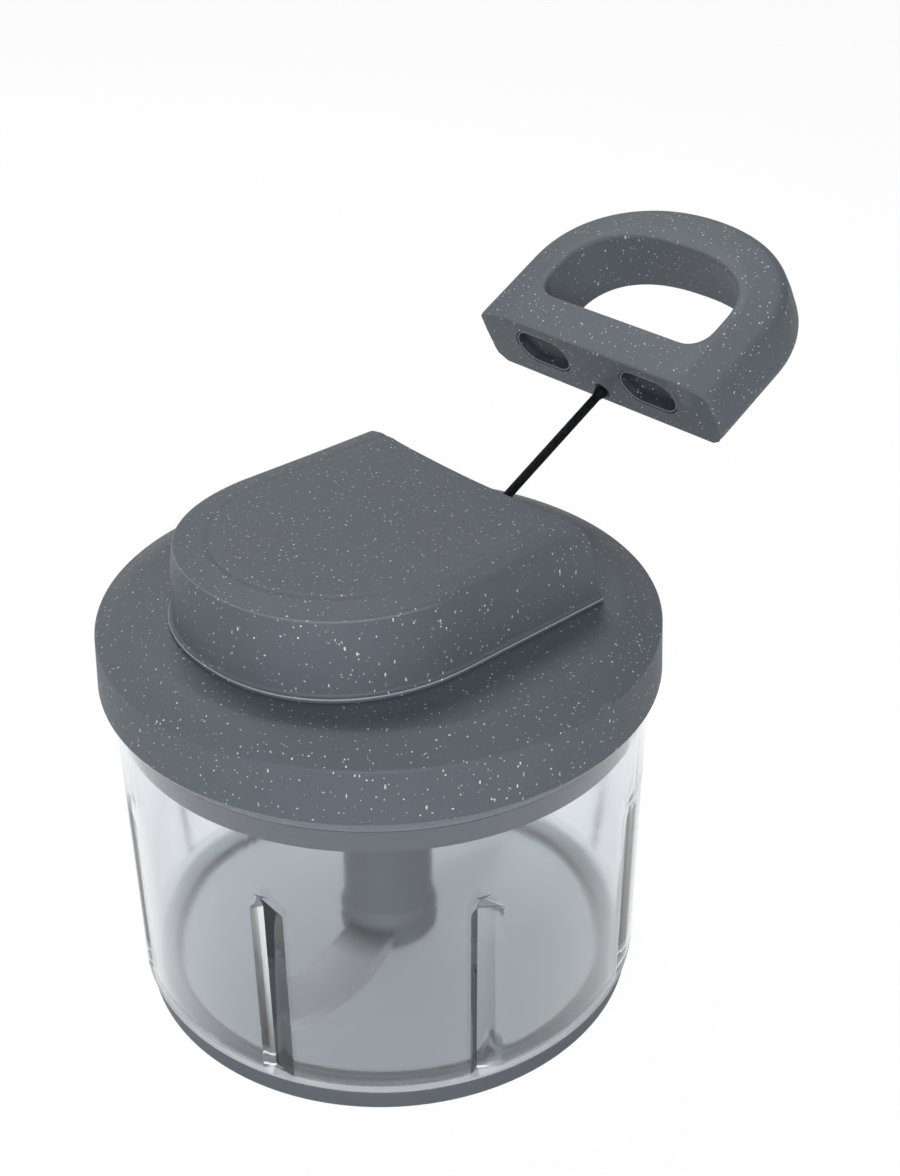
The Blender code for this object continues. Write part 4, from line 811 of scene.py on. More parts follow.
def black_cord(groups):
    """Braided black cord: strands cross along the tube's own length and round it."""
    finish, nodes, shader = new_finish("black_cord", Specular_IOR_Level=0.12)
    split = nodes.add("ShaderNodeSeparateXYZ")
    nodes.link(nodes.add("ShaderNodeUVMap").outputs[0], split.inputs[0])
    waves = []
    for side in (1, -1):
        phase = nodes.math("ADD", nodes.times(split.outputs[0], side * 4.0), split.outputs[1])
        waves.append(nodes.math("SINE", nodes.times(phase, 2 * pi)))
    strand = nodes.ramp(nodes.math("MAXIMUM", *waves), -0.4, 1.0)
    grain = add_group(nodes, groups["grain"], Grain_Scale=6000.0, Patch_Scale=300.0)
    low, high = (0.001, 0.001, 0.002, 1), (0.006, 0.007, 0.010, 1)
    stranded(nodes, shader, strand, grain.outputs["Patch"], low, high, (0.60, 0.80))
    return finish


def wound_cord(groups):
    """The same cord where it is wound, bent or knotted: fine fibres without a drawn braid."""
    finish, nodes, shader = new_finish("black_cord", Sheen_Weight=0.2)
    finish["material"].name = "wound_cord"
    grain = add_group(nodes, groups["grain"], Grain_Scale=5000.0, Patch_Scale=900.0)
    fibre = nodes.ramp(grain.outputs["Height"], 0.35, 0.65)
    low, high = (0.002, 0.002, 0.003, 1), (0.014, 0.016, 0.020, 1)
    stranded(nodes, shader, fibre, grain.outputs["Patch"], low, high, (0.50, 0.70))
    return finish


def make_finishes():
    groups = {"flecks": pale_flecks_group(), "grain": fine_grain_group()}
    steel = (0.50, 0.51, 0.53, 1), (0.66, 0.67, 0.69, 1), 0.22, (300.0, 300.0, 9000.0)
    blade_steel = (0.82, 0.83, 0.85, 1), (0.92, 0.93, 0.95, 1), 0.42, (60, 9000, 60)
    return {
        "slate": slate_plastic(groups),
        # inner: the slate moulding painted darker, as painted shade inside the bowl and under the lid
        "inner": shaded_inner_slate(groups),
        "rubber": grey_rubber(groups),
        "clear": clear_plastic(groups),
        "steel": metal("steel", groups, *steel),
        "blade": metal("blade_steel", groups, *blade_steel, BLADE_HUB_SHADE_RADII),
        "white": white_plastic(groups),
        "cord": black_cord(groups),
        "wound": wound_cord(groups),
    }


# Bowl and its base

def base_ring(finish):
    section = [
        (RING_INNER, 0, 0.0006),
        (RING_RADIUS, 0, 0.0008),
        (RING_RADIUS, RING_TOP, 0.0005),
        (RING_INNER, RING_TOP, 0.0005),
    ]
    turned_piece("base_ring_moulding", section, finish, "bowl", ["base_ring"])


def foot_highlight_sheet(finish):
    """A thin pale sheet between the base ring and the bowl, as a painted highlight that makes the bowl's foot
    read bright.
    """
    low, high = RING_TOP + CLEARANCE / 6, RING_TOP + CLEARANCE * 5 / 6
    inner, outer = RING_INNER + CLEARANCE, RING_RADIUS - CLEARANCE
    turned_piece("foot_highlight_sheet", [(inner, low), (outer, low), (outer, high), (inner, high)], finish, "bowl")


def bowl_outer_radius(height):
    share = (height - BOWL_CURL_TOP) / (BOWL_TOP - BOWL_CURL_TOP)
    return BOWL_FOOT_RADIUS + (BOWL_RIM_RADIUS - BOWL_FOOT_RADIUS) * max(0, share)


def bowl_section():
    """The bowl's section round its outside and back to its floor, without the ribs."""
    ring_inside = RING_INNER - CLEARANCE
    foot = RING_TOP + CLEARANCE
    step_out = FLOOR_TOP + RING_TOP / 2
    bead_low = BEAD_TOP - BEAD_HEIGHT
    inner = BOWL_FOOT_RADIUS - BOWL_WALL
    curl_start = BOWL_FOOT_RADIUS - BOWL_CURL + sqrt(BOWL_CURL**2 - (BOWL_CURL_TOP - foot) ** 2)
    outside = [
        (0, 0),
        (BOSS_RADIUS, 0, 0.0006),
        (BOSS_RADIUS + BOWL_FLOOR / 2, BOWL_FLOOR_RISE, 0.0008),
        (ring_inside, BOWL_FLOOR_RISE, 0.0006),
        (ring_inside, foot, 0.0005),
        (curl_start - BOWL_WALL, foot, 0.0004),
        (BOWL_FOOT_RADIUS, foot + BOWL_CORNER / 4, BOWL_OUTER_CORNER),
        (bowl_outer_radius(RIB_FOOT), RIB_FOOT),
        (bowl_outer_radius(RIB_TOP), RIB_TOP),
        (bowl_outer_radius(bead_low), bead_low, 0.0004),
        (bowl_outer_radius(bead_low) + BEAD_PROUD, bead_low, 0.0005),
        (bowl_outer_radius(BEAD_TOP) + BEAD_PROUD, BEAD_TOP, 0.0004),
        (bowl_outer_radius(BEAD_TOP), BEAD_TOP, 0.0003),
        (BOWL_RIM_RADIUS, BOWL_TOP, 0.0009),
    ]
    inside = [
        (BOWL_RIM_RADIUS - BOWL_WALL, BOWL_TOP, 0.0009),
        (bowl_outer_radius(RIB_TOP) - BOWL_WALL, RIB_TOP),
        (bowl_outer_radius(RIB_FOOT) - BOWL_WALL, RIB_FOOT),
        (inner, step_out, BOWL_CORNER),
        (ring_inside + BOWL_FLOOR / 2, step_out, 0.0010),
        (ring_inside - BOWL_FLOOR, FLOOR_TOP, 0.0020),
        (BOSS_RADIUS + BOWL_FLOOR / 2, FLOOR_TOP, 0.0010),
        (BOSS_RADIUS, FLOOR_TOP + BOSS_HEIGHT, 0.0006),
        (PIN_HOLE_RADIUS, FLOOR_TOP + BOSS_HEIGHT, 0.0003),
        (PIN_HOLE_RADIUS, PIN_HOLE_BOTTOM),
        (0, PIN_HOLE_BOTTOM),
    ]
    return rounded(outside + inside, closed=False)


def rib_cut(share, height):
    """How deep a rib's sharp groove is at a share of its width and at a height."""
    if height <= RIB_FOOT or height >= RIB_TOP:
        return 0.0
    foot = min(1.0, (height - RIB_FOOT) / RIB_FOOT_RISE)
    gable = min(1.0, (RIB_TOP - height) / RIB_GABLE)
    across = min(share / RIB_RIDGE_SHARE, (1 - share) / (1 - RIB_RIDGE_SHARE))
    return RIB_DEPTH * max(0.0, across) * min(foot, gable)


def rib_painted_shade(middle):
    """How much painted shade a face of the bowl takes: one side and the gable of each rib that faces the camera.
    """
    inset = bowl_outer_radius(middle.z) - hypot(middle.x, middle.y)
    if not RIB_FOOT < middle.z < RIB_TOP or not CLEARANCE / 3 <= inset <= RIB_DEPTH:
        return 0.0
    turn = (degrees(atan2(middle.y, middle.x)) - RIB_PHASE) % 360 / (360 / RIB_COUNT)
    rib = round(turn)
    if rib not in FRONT_RIBS:
        return 0.0
    width = degrees(RIB_WIDTH / BOWL_FOOT_RADIUS) / (360 / RIB_COUNT)
    side = "broad" if (turn - rib) / width + 0.5 > RIB_RIDGE_SHARE else "steep"
    return 1.0 if side == FRONT_RIBS[rib] or middle.z > RIB_TOP - RIB_GABLE else 0.0


def smooth(share):
    """Eases a share from 0 to 1."""
    share = min(1.0, max(0.0, share))
    return share * share * (3 - 2 * share)


def bowl_ring(shape, radius, height, shares, outside):
    """One ring of the bowl, with close columns at each rib and even ones between the ribs."""
    on_wall = radius > BOWL_FOOT_RADIUS - BOWL_WALL - CLEARANCE
    gable = 1.0
    if on_wall and height < RIB_TOP:
        gable = max(RIB_APEX_SHARE, min(1.0, (RIB_TOP - height) / RIB_GABLE))
    width = RIB_WIDTH / BOWL_FOOT_RADIUS
    points = []
    for rib in range(RIB_COUNT):
        ridge = radians(RIB_PHASE) + 2 * pi * rib / RIB_COUNT + width * (RIB_RIDGE_SHARE - 0.5)
        angles = [ridge + width * (share - RIB_RIDGE_SHARE) * gable for share in shares]
        strength = (1.0 if rib in FRONT_RIBS else RIB_SIDE_SHARE) * (on_wall and outside)
        points += [(radius - rib_cut(share, height) * strength, angle) for share, angle in zip(shares, angles)]
        gap = angles[0] + 2 * pi / RIB_COUNT - angles[-1]
        points += [(radius, angles[-1] + gap * i / PLAIN_STEPS) for i in range(1, PLAIN_STEPS)]
    return add_ring(shape, [(r * cos(angle), r * sin(angle), height) for r, angle in points])


def bowl(finish):
    """The clear bowl. Each pressed rib is a groove outside, with one steep and one broad face."""
    edge, ridge = RIB_EDGE_SHARE, RIB_RIDGE_SHARE
    shares = [0, edge, ridge / 2, ridge - edge / 2, ridge, ridge + edge / 2, (1 + ridge) / 2, 1 - edge, 1]
    section = bowl_section()
    split = max(range(len(section)), key=lambda i: section[i][1])
    shape = bmesh.new()
    inside_mask = shape.verts.layers.float.new("inside")
    rib_shade_layer = shape.faces.layers.float.new("painted_rib_shade")
    rings = []
    for radius, height, outside in with_rib_rows([(*point, i < split) for i, point in enumerate(section)]):
        if radius < CLEARANCE:
            rings.append([shape.verts.new((0, 0, height))] * (RIB_COUNT * (len(shares) + PLAIN_STEPS - 1)))
        else:
            rings.append(bowl_ring(shape, radius, height, shares, outside))
        for vert in rings[-1]:
            vert[inside_mask] = 0.0 if outside else 1.0
    skin_rings(shape, rings)
    # Marks the faces that take the painted rib shade
    for face in shape.faces:
        face[rib_shade_layer] = rib_painted_shade(face.calc_center_median())
    shape_piece("clear_bowl", shape, finish, "bowl", ["bowl"], BOWL_SHARP_ANGLE)


def with_rib_rows(rows):
    """Adds the rows that a rib's foot, wall and gable need, outside and inside."""
    levels = [RIB_FOOT - CLEARANCE, RIB_FOOT, RIB_FOOT + RIB_FOOT_RISE, RIB_TOP + CLEARANCE]
    levels += [RIB_TOP - RIB_GABLE * (1 - i / GABLE_STEPS) for i in range(GABLE_STEPS + 1)]
    made = []
    for (r1, z1, out1), (r2, z2, out2) in zip(rows, rows[1:]):
        made.append((r1, z1, out1))
        if out1 != out2 or min(r1, r2) < BOWL_FOOT_RADIUS - BOWL_WALL - CLEARANCE or abs(z2 - z1) < CLEARANCE:
            continue
        between = sorted(z for z in levels if min(z1, z2) + CLEARANCE / 10 < z < max(z1, z2) - CLEARANCE / 10)
        for z in between if z2 > z1 else reversed(between):
            made.append((r1 + (r2 - r1) * (z - z1) / (z2 - z1), z, out1))
    made.append(rows[-1])
    return made


# Blade unit

def blade_hub(finish):
    """The column: a broad foot, a short cone and a plain shaft with a rounded top."""
    low, high = (corner.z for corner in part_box("blade_hub"))
    foot_top = low + HUB_FOOT_HEIGHT
    section = [
        (0, high - HUB_SOCKET_DEPTH),
        (HUB_SOCKET_RADIUS, high - HUB_SOCKET_DEPTH),
        (HUB_SOCKET_RADIUS, high, 0.0004),
        (HUB_RADIUS, high, 0.0010),
        (HUB_RADIUS, foot_top + HUB_CONE, 0.0030),
        (HUB_FOOT_RADIUS, foot_top, 0.0016),
        (HUB_FOOT_RADIUS, low, 0.0008),
        (BOSS_RADIUS + HUB_BOSS_ROOM, low, 0.0004),
        (BOSS_RADIUS + HUB_BOSS_ROOM, low + BOSS_HEIGHT),
        (0, low + BOSS_HEIGHT),
    ]
    turned_piece("hub_column", section, finish, "blades", ["blade_hub"])


def blade_outline(bevel):
    """A swept blade in plan along +X, its cutting edge towards +Y set back by the bevel."""
    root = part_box("blade_hub")[1].x - BLADE_OVERLAP
    half_root = BLADE_ROOT_WIDTH / 2
    leading, trailing = [], []
    for i in range(BLADE_STEPS + 1):
        share = i / BLADE_STEPS
        x = root + (BLADE_REACH - root) * share
        middle = -BLADE_SWEEP * share * share
        neck = (1 - share) ** 4
        half = (half_root * neck + BLADE_HALF_WIDTH * (1 - neck)) * sqrt(1 - share**3)
        ground = bevel * min(1, share * 4)
        leading.append((x, max(middle + half - ground, middle - half)))
        trailing.append((x, middle - half))
    return [*trailing, *reversed(leading[:-1])]


def blade(name, node, angle, finish):
    """One thin blade with its ground edge, at its node's height."""
    low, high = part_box(node)
    turn = Matrix.Rotation(radians(angle), 4, "Z")
    loops = []
    for bevel, height in ((0, low.z), (0, low.z + BLADE_THICKNESS * 0.15), (BLADE_BEVEL, high.z)):
        loops.append([turn @ Vector((x, y, height)) for x, y in blade_outline(bevel)])
    shape_piece(name, stack_shape(loops), finish, "blades", [node], BLADE_SHARP_ANGLE)


# Lid

def crown_height(radius):
    share = (radius - CROWN_FLAT_RADIUS) / (CROWN_EDGE_RADIUS - CROWN_FLAT_RADIUS)
    return LID_TOP - CROWN_DROP * min(1, max(0, share)) ** CROWN_POWER


def lid_disc(finish):
    """The round lid: flat crown, falling shoulder, a small fillet and the drafted skirt."""
    inner = LID_RADIUS - SKIRT_WALL
    crown = []
    for i in range(CROWN_STEPS):
        radius = CROWN_FLAT_RADIUS + (CROWN_EDGE_RADIUS - CROWN_FLAT_RADIUS) * i / CROWN_STEPS
        crown.append((radius, crown_height(radius)))
    skirt_top = LID_TOP - CROWN_DROP - 0.0002
    section = [
        (LID_HOLE_RADIUS, LID_TOP),
        *crown,
        (LID_RADIUS - SKIRT_DRAFT, skirt_top, 0.0011),
        (LID_RADIUS, SKIRT_BOTTOM, 0.0009),
        (inner, SKIRT_BOTTOM, 0.0005),
        (inner, skirt_top - LID_THICKNESS, 0.0010),
        (CROWN_FLAT_RADIUS, LID_TOP - LID_THICKNESS),
        (LID_HOLE_RADIUS, LID_TOP - LID_THICKNESS),
    ]
    turned_piece("lid_moulding", section, finish, "lid", ["lid_disc"], 2 * TURN_STEPS)


def inner_cover(finish):
    """The lid's underside with its plug wall, its seal groove and its collar."""
    inner = PLUG_RADIUS - PLUG_WALL
    seal_low, seal_high = (corner.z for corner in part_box("lid_seal"))
    plate_top = COVER_UNDERSIDE + COVER_THICKNESS
    groove = PLUG_RADIUS - SEAL_GROOVE
    section = [
        (COLLAR_BORE, COVER_UNDERSIDE, 0.0005),
        (inner - PLUG_WALL, COVER_UNDERSIDE, 0.0012),
        (inner, PLUG_BOTTOM, 0.0008),
        (PLUG_RADIUS, PLUG_BOTTOM, 0.0009),
        (PLUG_RADIUS, seal_low - CLEARANCE, 0.0002),
        (groove, seal_low - CLEARANCE),
        (groove, seal_high + CLEARANCE),
        (PLUG_RADIUS, seal_high + CLEARANCE, 0.0002),
        (PLUG_RADIUS, PLUG_TOP),
        (inner, PLUG_TOP),
        (inner, plate_top),
        (COLLAR_BORE + COLLAR_WALL, plate_top),
        (COLLAR_BORE + COLLAR_WALL, plate_top + COLLAR_HEIGHT),
        (COLLAR_BORE, plate_top + COLLAR_HEIGHT),
    ]
    turned_piece("cover_moulding", section, finish, "lid", ["inner_cover"])


def lid_seal(finish):
    low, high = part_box("lid_seal")
    inner = PLUG_RADIUS - SEAL_GROOVE + CLEARANCE
    section = [(inner, low.z), (high.x, low.z, 0.0008), (high.x, high.z, 0.0008), (inner, high.z)]
    turned_piece("seal_ring", section, finish, "lid", ["lid_seal"])


def screw_mesh():
    """A pan-head screw that stands on its head, with a cross recess in it."""
    section = [
        (0, 0),
        (SCREW_HEAD_RADIUS, 0, 0.0009),
        (SCREW_HEAD_RADIUS, SCREW_HEAD_HEIGHT, 0.0002),
        (SCREW_RADIUS, SCREW_HEAD_HEIGHT),
        (SCREW_RADIUS, SCREW_LENGTH + SCREW_HEAD_HEIGHT, 0.0004),
        (0, SCREW_LENGTH + SCREW_HEAD_HEIGHT),
    ]
    shape = turned_shape(rounded(section, closed=False), SMALL_TURN_STEPS)
    piece = new_object("screw", mesh_from("screw", shape))
    half, reach = SCREW_CROSS_WIDTH / 2, SCREW_CROSS_REACH
    corners = [(half, half), (reach, half), (reach, -half)]
    outline = [Matrix.Rotation(-pi / 2 * k, 2) @ Vector(corner) for k in range(4) for corner in corners]
    recess = [[Vector((x, y, z)) for x, y in outline] for z in (-OVERRUN, SCREW_CROSS_DEPTH)]
    cut(piece, stack_shape(recess), "screw_recess")
    mesh = piece.data
    bpy.data.objects.remove(piece)
    return mesh


def screws(finish):
    """The four screws of the inner cover and the three of the dome, each on its node's axis."""
    first = screw_mesh()
    nodes = [f"cover_screw_{n}" for n in range(1, 5)] + [f"dome_screw_{n}" for n in range(1, 4)]
    for number, node in enumerate(nodes, 1):
        low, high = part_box(node)
        mesh = first.copy()
        mesh.transform(Matrix.Translation(((low.x + high.x) / 2, (low.y + high.y) / 2, low.z)))
        settle(add_piece(f"screw_{number}", mesh, finish, "lid", [node]))


# Dome cover

def face_y(height):
    return DOME_FACE_Y - (height - DOME_BASE) * tan(radians(DOME_FACE_LEAN))


def dome_section(shoulder):
    """The dome's section as (inset from the plan outline, height above its foot)."""
    section = [
        (-DOME_LIP, 0),
        (-DOME_LIP, DOME_LIP_HEIGHT, DOME_LIP / 2),
        (0.0002, DOME_LIP_HEIGHT + 0.0004, DOME_LIP),
        (0.0003, 0.0075, 0.0200),
        (0.0006, 0.0125, 0.0100),
        (0.0013, DOME_HEIGHT - 0.0011, shoulder),
        (DOME_CREASE - 0.0013, DOME_HEIGHT - 0.00005, 0.0030),
        (DOME_CREASE, DOME_HEIGHT - 0.00032, 0.0016),
        (DOME_CREASE + 0.0013, DOME_HEIGHT - 0.00016, 0.0030),
        (DOME_CREASE + 0.0024, DOME_HEIGHT - 0.00015),
    ]
    return rounded(section, closed=False)


def dome_row(inset, height, wall=0.0):
    """The dome's open plan outline at one height."""
    power = DOME_POWER + (DOME_CREASE_POWER - DOME_POWER) * min(1, max(0, inset / DOME_CREASE))
    half_width, tip = DOME_HALF_WIDTH - inset - wall, DOME_TIP_Y + inset + wall
    face = face_y(height) - wall / cos(radians(DOME_FACE_LEAN))
    outline = d_outline(half_width, face, DOME_CENTRE_Y, tip, power, DOME_SIDE_STEPS, DOME_BOW_STEPS)
    return [Vector((x, y, height)) for x, y in outline]


def dished(point):
    """Lowers a point of the top towards the middle of the flat face, and keeps it on the leaning face."""
    across = max(0.0, 1 - (point.x / DOME_DISH_HALF) ** 2)
    along = (point.y - DOME_DISH_START) / (DOME_FACE_Y - DOME_DISH_START)
    height = point.z - DOME_DISH * across * smooth(along)
    stretch = face_y(height) / face_y(point.z) if point.y > 0 else 1.0
    return Vector((point.x, point.y * stretch, height))


def dome_side_share(point):
    """0 where the dome's shoulder is crisp, round the front, and 1 where it is round, beside the flat face."""
    start = DOME_SIDE_START if point.x > 0 else DOME_LEFT_START
    return smooth((point.y - start) / (DOME_SIDE_END - start))


def dome_cover(finish):
    """The dome: walls with a fine lip at the foot, a shallow band, a soft crease and a dished top."""
    shape = bmesh.new()
    # Painted highlight on the lip rows and the front shoulder rows
    pale = shape.verts.layers.float.new("painted_edge_highlight")
    rows, rings = [], []
    sections = zip(dome_section(DOME_SHOULDER), dome_section(DOME_SIDE_SHOULDER))
    for number, (front, side) in enumerate(sections):
        bow_row, side_row = (dome_row(inset, DOME_BASE + height) for inset, height in (front, side))
        rows.append([a.lerp(b, dome_side_share(a)) for a, b in zip(bow_row, side_row)])
        rings.append(add_ring(shape, rows[-1]))
        for vert in rings[-1]:
            on_shoulder = DOME_SHOULDER_GLEAM * smooth(1 - DOME_SHOULDER_FADE * dome_side_share(vert.co))
            on_shoulder *= number in DOME_SHOULDER_ROWS
            vert[pale] = DOME_LIP_GLEAM if number in DOME_LIP_ROWS else on_shoulder
    skin_rings(shape, rings, ring_shut=False)
    edge = rows[-1]
    count = len(edge)
    lines = []
    for i in range(count // 2):
        right, left = rings[-1][i], rings[-1][count - 1 - i]
        middle = [edge[i].lerp(edge[count - 1 - i], k / PANEL_COLUMNS) for k in range(1, PANEL_COLUMNS)]
        lines.append([right, *add_ring(shape, [dished(point) for point in middle]), left])
    lines.append([rings[-1][count // 2]] * (PANEL_COLUMNS + 1))
    skin_rings(shape, lines, ring_shut=False)
    wall_rows = [
        dome_row(0.0006, DOME_BASE, DOME_WALL),
        dome_row(0.0010, DOME_BASE + DOME_HEIGHT * 0.85, DOME_WALL),
        dome_row(DOME_CREASE, DOME_BASE + DOME_HEIGHT - DOME_WALL - DOME_DISH, DOME_WALL),
    ]
    inner = [add_ring(shape, row) for row in wall_rows]
    skin_rings(shape, inner, ring_shut=False)
    shape.faces.new(inner[-1])
    skin_rings(shape, [rings[0], inner[0]])
    shape.faces.new([ring[0] for ring in inner] + [ring[-1] for ring in reversed(inner)])
    shape.faces.new([ring[0] for ring in rings] + lines[0][1:-1] + [ring[-1] for ring in reversed(rings)])
    piece = shape_piece("dome_moulding", shape, finish, "lid", ["dome_cover"])
    soften_edges(piece, DOME_EDGE, DOME_EDGE_ANGLE)
    hole = EYELET_RADIUS + CLEARANCE
    back = -DOME_WALL - OVERRUN
    profile = [(0, back), (hole, back), (hole, OVERRUN), (0, OVERRUN)]
    cut(piece, turned_shape(profile, SMALL_TURN_STEPS, eye_matrix() @ ALONG_Y), "eye_hole")
    room = 2 * (OVAL_CLEARANCE - CLEARANCE)
    levels = [(-STUD_SEAT - CLEARANCE, 0), (-CLEARANCE, 0), (OVERRUN, OVERRUN + CLEARANCE)]
    for side in (-1, 1):
        centre = (side * STUD_SPACING / 2, HANDLE_CORD_DROP + STUD_RISE)
        pocket = oval_stack(OVAL_WIDTH - room, OVAL_HEIGHT - room, levels, centre, eye_matrix())
        cut(piece, stack_shape(pocket), "stud_pocket")
    settle(piece)


def docking_stud(number, side, finish):
    """An oval stud on the dome's flat face, seated in its wall and rounded at its end."""
    width, height = OVAL_WIDTH - 2 * OVAL_CLEARANCE, OVAL_HEIGHT - 2 * OVAL_CLEARANCE
    centre = (side * STUD_SPACING / 2, HANDLE_CORD_DROP + STUD_RISE)
    edge = STUD_PROUD / 4
    levels = [(-STUD_SEAT, 0), (STUD_PROUD - edge, 0)]
    levels += [(STUD_PROUD - edge * fall, -edge * inward) for fall, inward in quarter_round(1)]
    shape = stack_shape(oval_stack(width, height, levels, centre, eye_matrix()))
    shape_piece(f"stud_{number}", shape, finish, "lid", [f"docking_stud_{number}"])


def cord_eyelet(finish):
    """The metal ring in the dome's flat face: a flared mouth, and a flange behind the wall."""
    back, flare = -DOME_WALL - CLEARANCE, EYELET_MOUTH - EYELET_THROAT
    section = [
        *[(EYELET_THROAT + flare * out, -DOME_WALL * depth) for depth, out in quarter_round()],
        (EYELET_RADIUS, 0, 0.0002),
        (EYELET_RADIUS, back),
        (EYELET_FLANGE, back),
        (EYELET_FLANGE, back - EYELET_FLANGE_THICKNESS),
        (EYELET_THROAT, back - EYELET_FLANGE_THICKNESS),
    ]
    matrix = eye_matrix() @ ALONG_Y
    turned_piece("eyelet_ring", section, finish, "lid", ["cord_eyelet"], 2 * SMALL_TURN_STEPS, matrix)


# Pull handle

def d_stations(half_width, face, centre, tip, power, corner):
    """A closed D as (x, y, weight); the weight is 1 along the flat face and falls to 0 round its corners."""
    side = centre - face - corner
    right = [(half_width, face + corner + side * i / HANDLE_SIDE_STEPS, 0) for i in range(HANDLE_SIDE_STEPS + 1)]
    bow = [(x, y, 0) for x, y in bow_points(half_width, centre, tip, power, HANDLE_BOW_STEPS)[1:-1]]
    arc = []
    for i, (down, across) in enumerate(quarter_round(1, HANDLE_CORNER_STEPS)[:-1], 1):
        arc.append((half_width - corner * across, face + corner * down, i / HANDLE_CORNER_STEPS))
    flat_half = half_width - corner
    flat = [(flat_half * (2 * i / HANDLE_FLAT_STEPS - 1), face, 1) for i in range(HANDLE_FLAT_STEPS + 1)]
    left, left_arc = ([(-x, y, weight) for x, y, weight in line] for line in (right[::-1], arc))
    return right + bow + left + left_arc + flat + arc[::-1]


def handle_inset(x, y):
    """How far inside the handle's sides and bow a point of its plan lies."""
    if y <= HANDLE_STRAIGHT:
        return HANDLE_HALF_WIDTH - abs(x)
    low, high = -OVERRUN, HANDLE_LENGTH - HANDLE_STRAIGHT - CLEARANCE
    for _ in range(INSET_HALVINGS):
        inset = (low + high) / 2
        reach = HANDLE_LENGTH - HANDLE_STRAIGHT - inset
        across = abs(x) / (HANDLE_HALF_WIDTH - inset)
        if across**HANDLE_POWER + ((y - HANDLE_STRAIGHT) / reach) ** HANDLE_POWER <= 1:
            low = inset
        else:
            high = inset
    return low


def handle_top(x, y):
    """The handle's upper face: flat by the hole, then a shallow fall from the ridge to the shoulder."""
    fall = (HANDLE_HEIGHT / 2 - HANDLE_SHOULDER_Z) / (HANDLE_RIDGE - HANDLE_SHOULDER)
    past = HANDLE_RIDGE - max(HANDLE_SHOULDER, handle_inset(x, y))
    if abs(past) < HANDLE_RIDGE_ROUND:
        past = (past + HANDLE_RIDGE_ROUND) ** 2 / (4 * HANDLE_RIDGE_ROUND)
    return HANDLE_HEIGHT / 2 - fall * max(0, past)


def handle_foot(x):
    """How low the flat face reaches at a distance from its middle: its lower corners are round."""
    past = max(0.0, abs(x) - HANDLE_HALF_WIDTH + HANDLE_FOOT_ROUND)
    return -HANDLE_HEIGHT / 2 + HANDLE_FOOT_ROUND - sqrt(max(0.0, HANDLE_FOOT_ROUND**2 - past**2))


def handle_loop(inset, face, side_z=None, face_z=None, drop=0.0):
    """One loop round the handle. Without a height it lies on the upper face, or so far below it."""
    loop = []
    half_width, tip, corner = HANDLE_HALF_WIDTH - inset, HANDLE_LENGTH - inset, HANDLE_CORNER + face / 2
    for x, y, weight in d_stations(half_width, face, HANDLE_STRAIGHT, tip, HANDLE_POWER, corner):
        top = handle_top(x, y)
        along_side = top if side_z is None else side_z
        along_face = top - drop if face_z is None else max(face_z, handle_foot(x))
        loop.append(Vector((x, y, along_side * (1 - weight) + along_face * weight)))
    return loop


def hole_loop(grow, height=None):
    start, centre, end = HOLE_START - grow / 3, HOLE_START + HOLE_STRAIGHT, HOLE_END + grow
    outline = d_stations(HOLE_HALF_WIDTH + grow, start, centre, end, HOLE_POWER, HOLE_CORNER)
    return [Vector((x, y, handle_top(x, y) if height is None else height)) for x, y, _ in outline]


def handle_loops():
    """All loops of the handle's skin, from the foot up the outside, over the top and down the hole."""
    half, edge = HANDLE_HEIGHT / 2, HANDLE_FACE_EDGE
    wall_low = -half + HANDLE_FOOT_ROUND
    corner = (HANDLE_SHOULDER, HANDLE_SHOULDER_Z, HANDLE_SHOULDER_ROUND)
    shoulder = rounded([(0, HANDLE_WALL_TOP), corner, (HANDLE_RIDGE, half)], closed=False)[1:-1]
    loops = []
    for inward, up in quarter_round(0, FOOT_STEPS):
        side_z = -half + HANDLE_FOOT_ROUND * up
        loops.append(handle_loop(HANDLE_FOOT_ROUND * inward, edge * inward, side_z, -half + edge * up))
    for share in (0.35, 0.7, 1.0):
        height = wall_low + (HANDLE_WALL_TOP - wall_low) * share
        loops.append(handle_loop(0, 0, height, height))
    for (inset, height), (drop, inward) in zip(shoulder, quarter_round(0, len(shoulder) - 1)):
        loops.append(handle_loop(inset, edge * inward, height, None, edge * drop))
    loops += [handle_loop(inset, edge + inset / 4) for inset in SLOPE_INSETS]
    ridge, rim = loops[-1], hole_loop(HOLE_EDGE)
    for share in (0.3, 0.65):
        row = [a.lerp(b, share) for a, b in zip(ridge, rim)]
        loops.append([Vector((p.x, p.y, handle_top(p.x, p.y))) for p in row])
    loops.append(rim)
    loops += [hole_loop(HOLE_EDGE * inward, half - HOLE_EDGE * down) for inward, down in quarter_round(1)]
    loops.append(hole_loop(HOLE_FLARE * 0.35, 0))
    low_grow = HOLE_FLARE * 0.65
    loops += [hole_loop(low_grow + HOLE_EDGE * out, -half + HOLE_EDGE * up) for up, out in quarter_round()]
    foot, under = loops[0], loops[-1]
    loops.append([a.lerp(b, 0.5) for a, b in zip(under, foot)])
    return loops


def handle_matrix():
    return cord_matrix() @ Matrix.Translation((0, FACE_DISTANCE, HANDLE_CORD_DROP))


